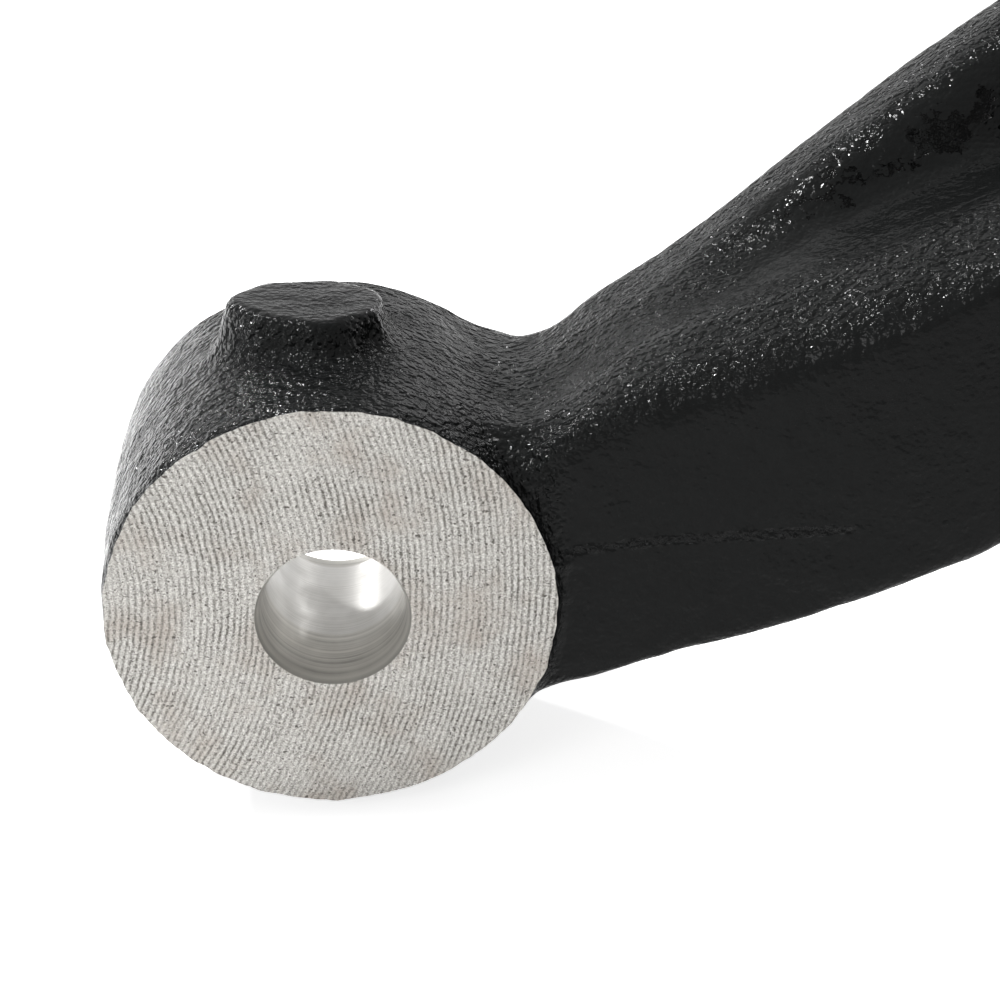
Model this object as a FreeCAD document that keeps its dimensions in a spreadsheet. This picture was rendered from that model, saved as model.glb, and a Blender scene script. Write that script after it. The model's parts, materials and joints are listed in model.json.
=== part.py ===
"""Bead-breaker arm of a tyre changer, as a parametric FreeCAD document.

A cast arm turns on a pin through its boss. The changer's ram pulls on a trunnion in the arm's
channel, and the blade that hangs in the fork at the far end pushes the tyre's bead off the rim.
Millimetres. The origin is on the pivot axis, halfway through the boss; Y is the pivot axis, X runs
towards the blade and Z points away from the changer's side.
"""
import FreeCAD
import Part
import Sketcher

import math
import os

from FreeCAD import Placement, Rotation, Vector

DRIVING = """
boss_face_r 38       boss_back_r 42        boss_len 52
bore_r 12.5          bore_mouth 0.7        bore_chamfer 1.7    bush_wall 3.5
bush_len 25          bush_recess 12
neck_half 24.5       neck_x 42             flare_gap 11.638    arm_half 33       channel_half 19
arch_x 272           crown_z 84            arch_in_r 202       arm_depth 61      arch_angle 38.4
heel_r 277           heel_turn 26          web 16              edge_round 5
runout_x 50          runout_half 10        channel_z 66
riser_x -4           riser_y 1             riser_r 14.4        riser_base_r 17   riser_top 46
pad_rise 2           trunnion_x 250        trunnion_rise 38    trunnion_r 18     trunnion_wall 4
pad_land 7           rod_r 10.5            rod_flat 14         window_long 48    window_r 13
thrust_lip 9         thrust_t 2.5          clip_t 2            clip_lip 3.5      clip_depth 1.4
end_land 2.6         running 0.05          side_gap 0.2
pin_r 9              pin_fit 0.1           ear_land 10         fork_web_angle 31.5
fork_gap 7           hub_wall 9.5          carrier_wall 3.5    spacer_wall 2.5
washer_lip 8         washer_t 3            nut_flat 27         head_high 11.5    nut_high 18
bridge_angle 26.5    bridge_half 11        bridge_rise 44
stop_r 5             stop_rise 53          stop_flat 16        stop_nut_high 6
spring_wire 1.1      spring_play 0.8       spring_pitch 2.6    spring_bow 0.42
spring_hook 32.9     spring_leg 44.4
blade_reach 228.583  blade_drop 64.209     blade_in_r 190      blade_t 8         blade_top 52
blade_bend -22
blade_lean 9         blade_edge_t 4        blade_edge_z -42    blade_span 60
mount_t 12           mount_span 40         mount_top 36        mount_low -11
blade_bolt_r 5       blade_bolt_turn 7.5   bolt_row_low 2      bolt_row_high 23  bolt_nut_high 8
bolt_flat 17         bolt_head_r 9.5       bolt_washer_r 10    bolt_washer_t 2
guard_t 4            guard_top -9          guard_low -37       guard_inset 6     guard_screw_r 3
guard_edge 7.777     guard_screw_z -16     guard_nut_high 5    guard_flat 10
handle_x 352         handle_rise 16        handle_r 8          handle_out 75     handle_end_x 556
handle_bend_r 26     flange_long 60        flange_tall 30      flange_t 6        handle_bolt_off 20
small_r 4            small_fit 0.15        small_flat 13       small_head 5.3    small_washer_r 8
small_washer_t 1.6   grip_len 118          grip_wall 7         bolt_reach 12
bumper_angle 13      bumper_r 15           bumper_high 18      bumper_seat 1     bumper_head_r 8.5
grip_over 5
eye_x 185            eye_rise 15           eye_r 9             eye_wire 3.5      eye_nut_high 6.5
"""

# Sizes that follow from the driving ones, so that what fits together goes on fitting.
FOLLOWING = {
    "bush_seat_r": "bore_r + bush_wall",
    "arch_z": "crown_z - arch_in_r",
    "flare_x": "arch_x - bridge_out * sin(arch_angle * 1 deg) - flare_gap",
    "trunnion_z": "crown_z + trunnion_rise",
    "trunnion_seat": "trunnion_r + trunnion_wall",
    "trunnion_pad_r": "trunnion_seat + pad_land",
    "thrust_r": "trunnion_r + thrust_lip",
    "clip_r": "trunnion_r + clip_lip",
    "tongue_half": "channel_half - fork_gap",
    "tongue_bush_r": "pin_r + carrier_wall",
    "tongue_r": "tongue_bush_r + hub_wall",
    "spacer_r": "pin_r + spacer_wall",
    "washer_r": "pin_r + washer_lip",
    "ear_pad_r": "washer_r + ear_land",
    "spring_r": "spacer_r + spring_wire + spring_play",
    "spring_span": "sqrt(spring_r ^ 2 + spring_hook ^ 2)",
    "spring_tip": "blade_reach - blade_in_r - blade_t - mount_t - spring_wire + spring_bow",
    "spring_lean": "atan(spring_hook / spring_r) - acos(spring_tip / spring_span)",
    "bridge_in": "arch_in_r + bridge_rise",
    "bridge_out": "arch_in_r + arm_depth",
    "stop_axis": "arch_in_r + stop_rise",
    "blade_axis_x": "arch_x + (arch_in_r + arm_depth / 2) * sin(arch_angle * 1 deg) + blade_reach",
    "blade_axis_z": "arch_z + (arch_in_r + arm_depth / 2) * cos(arch_angle * 1 deg) - blade_drop",
    "guard_span": "blade_span - guard_inset",
    "guard_screw_turn": "asin((guard_span - guard_edge) / (blade_in_r + blade_t)) / 1 deg",
    "handle_z": "crown_z + handle_rise",
    "eye_z": "crown_z + eye_rise",
    "grip_r": "handle_r + grip_wall",
}

doc = FreeCAD.newDocument("bead_breaker")
sheet = doc.addObject("Spreadsheet::Sheet", "sizes")
words = DRIVING.split()
for row, (alias, number) in enumerate(zip(words[0::2], words[1::2]), start=1):
    sheet.set(f"A{row}", alias)
    sheet.set(f"B{row}", number)
    sheet.setAlias(f"B{row}", alias)
doc.recompute()

nodes = {}


def full(expression):
    """The expression with each driving size written as sizes.alias, and each following size written out."""
    out, word = "", ""
    for letter in str(expression) + " ":
        if letter.isalnum() or letter == "_":
            word += letter
            continue
        if word in FOLLOWING:
            word = "(" + full(FOLLOWING[word]) + ")"
        elif word in words[0::2]:
            word = "sizes." + word
        out += word + letter
        word = ""
    return out.strip()


def value(expression):
    """The number that an expression of the sheet's aliases comes to, in mm or degrees."""
    found = sheet.evalExpression(full(expression))
    return float(getattr(found, "Value", found))


def bind(thing, **sizes):
    """Ties properties of an object to expressions of the sheet."""
    for name, expression in sizes.items():
        thing.setExpression(name.replace("__", "."), full(expression))
    return thing


def at(thing, x="0", y="0", z="0"):
    """Ties an object's place to expressions of the sheet."""
    return bind(thing, Placement__Base__x=x, Placement__Base__y=y, Placement__Base__z=z)


def keep(thing, name):
    """Makes an object one of the sub-parts that are written out."""
    thing.Label = name
    nodes[name] = thing
    return thing


# ---------------------------------------------------------------- sketches and features


def new_body(name):
    return doc.addObject("PartDesign::Body", name)


def origin_of(body, role):
    return next(f for f in body.Origin.OriginFeatures if f.Role == role)


def new_sketch(body, name, role, height="0"):
    """A sketch on one of the body's origin planes, lifted along the plane's normal."""
    sketch = body.newObject("Sketcher::SketchObject", name)
    sketch.AttachmentSupport = (origin_of(body, role), "")
    sketch.MapMode = "FlatFace"
    bind(sketch, AttachmentOffset__Base__z=height)
    return sketch


def fix_point(sketch, geometry, end, x, y):
    """Holds a point of a sketch at two expressions of the sheet."""
    for kind, expression in (("DistanceX", x), ("DistanceY", y)):
        number = sketch.addConstraint(
            Sketcher.Constraint(kind, -1, 1, geometry, end, value(expression))
        )
        sketch.setExpression(f"Constraints[{number}]", full(expression))


def polygon(sketch, corners):
    """A closed outline of straight lines with its corners at the given expressions."""
    first = sketch.GeometryCount
    spots = [Vector(value(x), value(y), 0) for x, y in corners]
    count = len(spots)
    for k in range(count):
        sketch.addGeometry(Part.LineSegment(spots[k], spots[(k + 1) % count]), False)
    for k, (x, y) in enumerate(corners):
        following = first + (k + 1) % count
        sketch.addConstraint(Sketcher.Constraint("Coincident", first + k, 2, following, 1))
        fix_point(sketch, first + k, 1, x, y)
    return sketch


def circle(sketch, x, y, radius):
    number = sketch.addGeometry(
        Part.Circle(Vector(value(x), value(y), 0), Vector(0, 0, 1), value(radius)), False
    )
    fix_point(sketch, number, 3, x, y)
    tie = sketch.addConstraint(Sketcher.Constraint("Radius", number, value(radius)))
    sketch.setExpression(f"Constraints[{tie}]", full(radius))
    return sketch


def outline(sketch, steps):
    """A closed outline of lines and arcs.

    A step is the end (x, y) of a line, or the end of an arc and then a point (x, y) on it.
    """
    first = sketch.GeometryCount
    spots = [Vector(value(s[0]), value(s[1]), 0) for s in steps]
    count = len(steps)
    ends = []
    for k, step in enumerate(steps):
        start, end = spots[k - 1], spots[k]
        clockwise = False
        if len(step) == 4:
            middle = Vector(value(step[2]), value(step[3]), 0)
            clockwise = (middle - start).cross(end - middle).z < 0
            corners = (end, middle, start) if clockwise else (start, middle, end)
            sketch.addGeometry(Part.Arc(*corners), False)
        else:
            sketch.addGeometry(Part.LineSegment(start, end), False)
        ends.append((2, 1) if clockwise else (1, 2))
    for k, step in enumerate(steps):
        following = (k + 1) % count
        sketch.addConstraint(
            Sketcher.Constraint(
                "Coincident", first + k, ends[k][1], first + following, ends[following][0]
            )
        )
        fix_point(sketch, first + k, ends[k][1], step[0], step[1])
    for k, step in enumerate(steps):
        if len(step) == 4:
            spot = sketch.addGeometry(
                Part.Point(Vector(value(step[2]), value(step[3]), 0)), True
            )
            fix_point(sketch, spot, 1, step[2], step[3])
            sketch.addConstraint(Sketcher.Constraint("PointOnObject", spot, 1, first + k))
    return sketch


def pad(body, name, sketch, length):
    """Adds material to both sides of a sketch, length in all."""
    made = body.newObject("PartDesign::Pad", name)
    made.Profile = sketch
    made.Midplane = True
    return bind(made, Length=length)


def pocket(body, name, sketch, length):
    """Takes material from both sides of a sketch, length in all."""
    made = body.newObject("PartDesign::Pocket", name)
    made.Profile = sketch
    made.Midplane = True
    return bind(made, Length=length)


def turn(body, name, sketch, cut=False, angle="360", axis="V_Axis"):
    """Turns a sketch about one of its own axes, half the angle to each side."""
    made = body.newObject("PartDesign::Groove" if cut else "PartDesign::Revolution", name)
    made.Profile = sketch
    made.ReferenceAxis = (sketch, [axis])
    made.Midplane = True
    return bind(made, Angle=angle)


def turned_ring(name, corners):
    """A body turned about its own Y axis, from (radius, place along the axis) corners."""
    body = new_body(name)
    turn(body, name + "_turning", polygon(new_sketch(body, name + "_section", "XY_Plane"), corners))
    return body


def ring_corners(inner, outer, low, high):
    return [(inner, low), (outer, low), (outer, high), (inner, high)]


def hexagon(sketch, x, y, flat):
    """A hexagon of the given width across its flats."""
    corner_r = f"({flat}) / sqrt(3)"
    corners = [
        (f"({x}) + {corner_r} * cos({60 * k} deg)", f"({y}) + {corner_r} * sin({60 * k} deg)")
        for k in range(6)
    ]
    return polygon(sketch, corners)


# ---------------------------------------------------------------- shared places

MID_R = "(arch_in_r + arm_depth / 2)"
PIN_X = f"(arch_x + {MID_R} * sin(arch_angle * 1 deg))"
PIN_Z = f"(arch_z + {MID_R} * cos(arch_angle * 1 deg))"
PAD_FACE = "(arm_half + pad_rise)"


def arch(radius, angle):
    """The point of the arch at that radius and that angle from its crown."""
    return (
        f"arch_x + ({radius}) * sin(({angle}) * 1 deg)",
        f"arch_z + ({radius}) * cos(({angle}) * 1 deg)",
    )


def by_bridge(forward, radius):
    """A point by the bridge: a distance along the stop screw, and a radius of the arch."""
    x, z = arch(radius, "bridge_angle")
    return (
        f"{x} + ({forward}) * cos(bridge_angle * 1 deg)",
        f"{z} - ({forward}) * sin(bridge_angle * 1 deg)",
    )


# ---------------------------------------------------------------- the arm


def heel(angle_from_end):
    """A point of the heel's arc, which runs into the underside of the arch."""
    joint = arch("arch_in_r", "-arch_angle")
    turned = f"(arch_angle - ({angle_from_end}))"
    return (
        f"{joint[0]} - heel_r * (sin(arch_angle * 1 deg) - sin({turned} * 1 deg))",
        f"{joint[1]} - heel_r * (cos({turned} * 1 deg) - cos(arch_angle * 1 deg))",
    )


def crest(x):
    """The height of the arm's straight upper edge at x."""
    left = arch("arch_in_r + arm_depth", "-arch_angle")
    return f"({left[1]} - ({left[0]} - {x}) * tan(arch_angle * 1 deg))"


def arm_casting():
    """Cast iron: a boss, a neck that flares into a channel, an arch, and a fork for the blade."""
    body = new_body("arm_casting")
    outer = "arch_in_r + arm_depth"
    out_left, out_right = arch(outer, "-arch_angle"), arch(outer, "arch_angle")
    in_left, in_right = arch("arch_in_r", "-arch_angle"), arch("arch_in_r", "arch_angle")
    ear = arch(MID_R, "arch_angle")
    nose = (
        f"{ear[0]} + arm_depth / 2 * cos(arch_angle * 1 deg)",
        f"{ear[1]} - arm_depth / 2 * sin(arch_angle * 1 deg)",
    )
    root = heel("heel_turn")
    side = outline(
        new_sketch(body, "side_outline", "XZ_Plane"),
        [
            root,
            (*in_left, *heel("heel_turn / 2")),
            (*in_right, *arch("arch_in_r", "0")),
            (*out_right, *nose),
            (*out_left, *arch(outer, "0")),
            ("0", crest("0")),
            ("0", root[1]),
        ],
    )
    pad(body, "arm_blank", side, "2 * arm_half")
    flare = new_sketch(body, "flare", "XY_Plane")
    for hand in ("", "-"):
        polygon(
            flare,
            [
                ("0", f"{hand}neck_half"),
                ("neck_x", f"{hand}neck_half"),
                ("flare_x", f"{hand}arm_half"),
                ("flare_x", f"{hand}(arm_half + pad_rise)"),
                ("0", f"{hand}(arm_half + pad_rise)"),
            ],
        )
    trim = pocket(body, "flare_trim", flare, "4 * arch_in_r")
    doc.recompute()
    edges = long_edges(trim.Shape)
    rounded = body.newObject("PartDesign::Fillet", "edge_rounds")
    rounded.Base = (trim, edges)
    bind(rounded, Radius="edge_round")
    boss = new_sketch(body, "boss_section", "XY_Plane")
    polygon(
        boss,
        [
            ("0", "-boss_len / 2"),
            ("boss_face_r", "-boss_len / 2"),
            ("boss_back_r", "boss_len / 2"),
            ("0", "boss_len / 2"),
        ],
    )
    turn(body, "boss", boss)
    for name, x, z, radius in (
        ("trunnion_pads", "trunnion_x", "trunnion_z", "trunnion_pad_r"),
        ("ear_pads", PIN_X, PIN_Z, "ear_pad_r"),
    ):
        flat = circle(new_sketch(body, name + "_outline", "XZ_Plane"), x, z, radius)
        pad(body, name, flat, f"2 * {PAD_FACE}")
    riser_stump(body)
    channel(body, outer)
    channel_runout(body)
    stop_bridge(body)
    bores(body)
    tapped_holes(body)
    bumper_seating(body)
    ram_window(body)
    return keep(body, "arm_casting")


def riser_stump(body):
    """What is left of the casting's feeder on top of the boss, where it was knocked off."""
    riser = new_sketch(body, "riser_section", "XZ_Plane", "-riser_y")
    polygon(
        riser,
        [
            ("riser_x", "boss_face_r / 2"),
            ("riser_x + riser_base_r + boss_face_r / 2 * 0.3", "boss_face_r / 2"),
            ("riser_x + riser_r", "riser_top"),
            ("riser_x", "riser_top"),
        ],
    )
    stump = body.newObject("PartDesign::Revolution", "riser_stump")
    stump.Profile = riser
    stump.ReferenceAxis = (riser, ["Edge4"])
    stump.Angle = 360


def long_edges(shape):
    """The edges where the arm's parallel side walls meet its upper and under faces."""
    found = []
    for number, edge in enumerate(shape.Edges, start=1):
        ends = [vertex.Point for vertex in edge.Vertexes]
        on_wall = all(abs(abs(p.y) - value("arm_half")) < 0.01 for p in ends)
        same_wall = len(ends) == 2 and ends[0].y * ends[1].y > 0
        upright = len(ends) == 2 and abs(ends[0].x - ends[1].x) < 0.01
        if on_wall and same_wall and not upright:
            found.append(f"Edge{number}")
    return found


def channel(body, outer):
    """The open channel along the arm's outer side, from the flare to the open end of the fork."""
    floor = "arch_in_r + web"
    above = f"arch_z + {outer} + arm_depth"
    entry = arch(floor, "-26")
    middle = (f"(flare_x + {entry[0]}) / 2", f"(channel_z + {entry[1]}) / 2 + 2")
    finish = arch(floor, "fork_web_angle")
    beyond = arch("arch_in_r - arm_depth", "fork_web_angle")
    side = outline(
        new_sketch(body, "channel_side", "XZ_Plane"),
        [
            ("flare_x", "channel_z"),
            (*entry, *middle),
            (*finish, *arch(floor, "0")),
            beyond,
            ("arch_x + 2 * arch_in_r", beyond[1]),
            ("arch_x + 2 * arch_in_r", above),
            ("flare_x", above),
        ],
    )
    pocket(body, "channel", side, "2 * channel_half")


def channel_runout(body):
    """The channel's narrowing, rising end on the neck."""
    deep = new_sketch(body, "runout_deep", "YZ_Plane", "flare_x")
    shallow = new_sketch(body, "runout_shallow", "YZ_Plane", "runout_x")
    polygon(
        deep,
        [
            ("-channel_half", "channel_z"),
            ("channel_half", "channel_z"),
            ("channel_half", crest("flare_x") + " + web"),
            ("-channel_half", crest("flare_x") + " + web"),
        ],
    )
    polygon(
        shallow,
        [
            ("-runout_half", crest("runout_x")),
            ("runout_half", crest("runout_x")),
            ("runout_half", crest("runout_x") + " + web"),
            ("-runout_half", crest("runout_x") + " + web"),
        ],
    )
    runout = body.newObject("PartDesign::SubtractiveLoft", "channel_runout")
    runout.Profile = deep
    runout.Sections = [shallow]
    runout.Ruled = True


def stop_bridge(body):
    """The bar across the channel that the stop screw is set in."""
    bridge = new_sketch(body, "bridge_outline", "XZ_Plane")
    polygon(
        bridge,
        [
            by_bridge("-bridge_half", "bridge_in"),
            by_bridge("bridge_half", "bridge_in"),
            by_bridge("bridge_half", "bridge_out"),
            by_bridge("-bridge_half", "bridge_out"),
        ],
    )
    pad(body, "stop_bridge", bridge, "2 * channel_half + web")


def tilted_hole(body, name, role, axis, angle, radius, length, base):
    """A round hole on a sketch turned from an origin plane; base is in the plane's directions."""
    sketch = new_sketch(body, name + "_at", role)
    sketch.AttachmentOffset = Placement(Vector(), Rotation(Vector(*axis), 1.0))
    bind(
        sketch,
        AttachmentOffset__Base__x=base[0],
        AttachmentOffset__Base__y=base[1],
        AttachmentOffset__Base__z=base[2],
        AttachmentOffset__Rotation__Angle=f"({angle}) * 1 deg",
    )
    pocket(body, name, circle(sketch, "0", "0", radius), length)


def bores(body):
    """The machined bores: the pivot's with its bush seat, the trunnion's and the blade pin's."""
    near, far = "-boss_len / 2", "boss_len / 2"
    shoulder = "(boss_len / 2 - bush_recess - bush_len)"
    pivot = polygon(
        new_sketch(body, "pivot_bore_section", "XY_Plane"),
        [
            ("0", near),
            ("bore_r + bore_mouth", near),
            ("bore_r", f"{near} + bore_chamfer"),
            ("bore_r", shoulder),
            ("bush_seat_r", shoulder),
            ("bush_seat_r", far),
            ("0", far),
        ],
    )
    turn(body, "pivot_bore", pivot, cut=True)
    for name, x, z, radius in (
        ("trunnion_seats", "trunnion_x", "trunnion_z", "trunnion_seat"),
        ("pin_holes", PIN_X, PIN_Z, "pin_r + pin_fit"),
    ):
        through = circle(new_sketch(body, name + "_at", "XZ_Plane"), x, z, radius)
        pocket(body, name, through, f"2 * {PAD_FACE}")


def tapped_holes(body):
    """The holes for the handle's screws, the spring's eyebolt and the stop screw."""
    wall = "(arm_half + channel_half) / 2"
    for name, x, z, height in (
        ("handle_hole_left", "handle_x - handle_bolt_off", "handle_z", wall),
        ("handle_hole_right", "handle_x + handle_bolt_off", "handle_z", wall),
        ("eye_hole", "eye_x", "eye_z", "-" + wall),
    ):
        tapped = circle(new_sketch(body, name + "_at", "XZ_Plane", height), x, z, "small_r")
        pocket(body, name, tapped, "arm_half - channel_half + 1")
    x, z = by_bridge("0", "stop_axis")
    across = "2 * bridge_half + 2"
    tilted_hole(
        body, "stop_hole", "YZ_Plane", (1, 0, 0), "bridge_angle", "stop_r", across, ("0", z, x)
    )


def bumper_seating(body):
    """The bumper's screw hole through the web, and the flat spot it seats on."""
    hub = ("arch_x", "0", "arch_z")
    for name, radius, length in (
        ("bumper_hole", "small_r + small_fit", "2 * (arch_in_r + 2 * web)"),
        ("bumper_seat_cut", "bumper_r + 1", "2 * (arch_in_r + bumper_seat)"),
    ):
        tilted_hole(body, name, "XY_Plane", (0, 1, 0), "bumper_angle", radius, length, hub)


def ram_window(body):
    """The slot through the web under the trunnion, which the ram's rod swings in."""
    half = "(window_long / 2 - window_r)"
    slot = outline(
        new_sketch(body, "window_outline", "XY_Plane"),
        [
            (f"trunnion_x + {half}", "-window_r"),
            (f"trunnion_x + {half}", "window_r", f"trunnion_x + {half} + window_r", "0"),
            (f"trunnion_x - {half}", "window_r"),
            (f"trunnion_x - {half}", "-window_r", f"trunnion_x - {half} - window_r", "0"),
        ],
    )
    pocket(body, "ram_window", slot, "2 * trunnion_z")


# ---------------------------------------------------------------- simple solids and groups


def rod(name, radius, low, high):
    """A plain cylinder along Y, from low to high."""
    return turned_ring(name, [("0", low), (radius, low), (radius, high), ("0", high)])


def hex_head(body, name, flat, low, high):
    """Adds a hexagon along Y to a body, from low to high."""
    middle = f"-(({low}) + ({high})) / 2"
    flats = hexagon(new_sketch(body, name + "_hexagon", "XZ_Plane", middle), "0", "0", flat)
    return pad(body, name, flats, f"({high}) - ({low})")


def nut_body(name, radius, flat, low, high):
    """A hexagon nut along Y with its hole."""
    body = new_body(name)
    hex_head(body, name + "_hex", flat, low, high)
    hole = circle(new_sketch(body, name + "_hole_at", "XZ_Plane"), "0", "0", radius)
    pocket(body, name + "_hole", hole, "4 * arm_half")
    return body


def placed(thing, name, x, y, z, angle="0", axis=(0, 1, 0)):
    """Another copy of a piece, put at a place and turned."""
    copy = doc.addObject("App::Link", name)
    copy.setLink(thing)
    copy.LinkTransform = False
    copy.Placement = Placement(Vector(), Rotation(Vector(*axis), 0.0))
    at(copy, x, y, z)
    bind(copy, Placement__Rotation__Angle=f"({angle}) * 1 deg")
    copy.Placement.Rotation.Axis = Vector(*axis)
    return copy


def group(name, copies):
    """One sub-part made of several separate solids."""
    made = doc.addObject("Part::Compound", name)
    made.Links = copies
    return keep(made, name)


# ---------------------------------------------------------------- pivot and trunnion


def pivot_bush():
    """Steel bush pressed into the far side of the boss, against the shoulder of the bore."""
    high = "(boss_len / 2 - bush_recess)"
    body = turned_ring(
        "pivot_bush", ring_corners("bore_r", "bush_seat_r", f"{high} - bush_len", high)
    )
    keep(body, "pivot_bush")


def trunnion():
    """The cross shaft the ram's rod pulls on, with its bushes, thrust washers and circlips."""
    for name, low, high in (
        ("trunnion_bush_near", "-" + PAD_FACE, "-channel_half"),
        ("trunnion_bush_far", "channel_half", PAD_FACE),
    ):
        ring = turned_ring(name, ring_corners("trunnion_r + running", "trunnion_seat", low, high))
        keep(at(ring, "trunnion_x", "0", "trunnion_z"), name)
    washer_in = f"({PAD_FACE} + side_gap / 2)"
    clip_in = f"({washer_in} + thrust_t)"
    clip_out = f"({clip_in} + clip_t)"
    end = f"({clip_out} + end_land)"
    neck = "(trunnion_r - clip_depth)"
    shaft = turned_ring(
        "trunnion_shaft",
        [
            ("0", f"-{end}"),
            (neck, f"-{end}"),
            ("trunnion_r", f"-{end} + clip_depth"),
            ("trunnion_r", f"-{clip_out}"),
            (neck, f"-{clip_out}"),
            (neck, f"-{clip_in}"),
            ("trunnion_r", f"-{clip_in}"),
            ("trunnion_r", clip_in),
            (neck, clip_in),
            (neck, clip_out),
            ("trunnion_r", clip_out),
            ("trunnion_r", f"{end} - clip_depth"),
            (neck, end),
            ("0", end),
        ],
    )
    flats = new_sketch(shaft, "rod_flats_outline", "XZ_Plane")
    for hand in ("", "-"):
        polygon(
            flats,
            [
                ("-trunnion_r - 1", f"{hand}rod_flat"),
                ("trunnion_r + 1", f"{hand}rod_flat"),
                ("trunnion_r + 1", f"{hand}(trunnion_r + 1)"),
                ("-trunnion_r - 1", f"{hand}(trunnion_r + 1)"),
            ],
        )
    pocket(shaft, "rod_flats", flats, "2 * channel_half - 2")
    hole = circle(new_sketch(shaft, "rod_hole_at", "XY_Plane"), "0", "0", "rod_r")
    pocket(shaft, "rod_hole", hole, "4 * trunnion_r")
    keep(at(shaft, "trunnion_x", "0", "trunnion_z"), "trunnion_shaft")
    washer = turned_ring(
        "thrust_washer", ring_corners("trunnion_r + running", "thrust_r", "0", "thrust_t")
    )
    clip = turned_ring("circlip", ring_corners(neck, "clip_r", "0", "clip_t"))
    mouth = new_sketch(clip, "circlip_mouth_outline", "XZ_Plane")
    polygon(
        mouth,
        [
            ("-clip_t", "0"),
            ("clip_t", "0"),
            ("clip_t", "2 * clip_r"),
            ("-clip_t", "2 * clip_r"),
        ],
    )
    pocket(clip, "circlip_mouth", mouth, "4 * clip_t")
    for name, piece, near in (("washer", washer, washer_in), ("circlip", clip, clip_in)):
        both = [
            placed(piece, name + "_far", "trunnion_x", near, "trunnion_z"),
            placed(piece, name + "_near", "trunnion_x", f"-{near}", "trunnion_z", "180", (0, 0, 1)),
        ]
        group("thrust_washers" if name == "washer" else "circlips", both)


# ---------------------------------------------------------------- blade and its pivot


def blade_pivot():
    """The bolt, washers, nut and spacers the blade's carrier swings on."""
    face, washer_out = PAD_FACE, f"({PAD_FACE} + washer_t)"
    bolt = rod("pivot_bolt", "pin_r", f"-{washer_out}", f"{washer_out} + nut_high + end_land")
    hex_head(bolt, "pivot_bolt_head", "nut_flat", f"-{washer_out} - head_high", f"-{washer_out}")
    keep(at(bolt, PIN_X, "0", PIN_Z), "pivot_bolt")
    nut = nut_body("pivot_nut", "pin_r", "nut_flat", washer_out, f"{washer_out} + nut_high")
    keep(at(nut, PIN_X, "0", PIN_Z), "pivot_nut")
    corners = ring_corners("pin_r + pin_fit", "washer_r", "0", "washer_t")
    washer = turned_ring("pivot_washer", corners)
    group(
        "pivot_washers",
        [
            placed(washer, "pivot_washer_far", PIN_X, face, PIN_Z),
            placed(washer, "pivot_washer_near", PIN_X, f"-{washer_out}", PIN_Z),
        ],
    )
    gap = "(channel_half - tongue_half - side_gap)"
    spacer = turned_ring("spacer", ring_corners("pin_r + running", "spacer_r", "0", gap))
    group(
        "pivot_spacers",
        [
            placed(spacer, "spacer_far", PIN_X, "tongue_half + side_gap", PIN_Z),
            placed(spacer, "spacer_near", PIN_X, "-channel_half", PIN_Z),
        ],
    )
    corners = ring_corners("pin_r + running", "tongue_bush_r", "-tongue_half", "tongue_half")
    bush = turned_ring("carrier_bush", corners)
    keep(at(bush, PIN_X, "0", PIN_Z), "carrier_bush")


def on_blade(radius, angle):
    """A point at a radius from the blade's upright axis, with the angle from its middle."""
    return (
        f"blade_axis_x - ({radius}) * cos(({angle}) * 1 deg)",
        f"({radius}) * sin(({angle}) * 1 deg)",
    )


BLADE_OUT = "(blade_in_r + blade_t)"


def upright_ring(body, name, corners, half_span):
    """Turns a section about the blade's upright axis; corners are (radius, height)."""
    section = new_sketch(body, name + "_section", "XZ_Plane")
    polygon(section, [(f"-({radius})", height) for radius, height in corners])
    return turn(body, name, section, angle=f"2 * asin(({half_span}) / {BLADE_OUT})")


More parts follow.
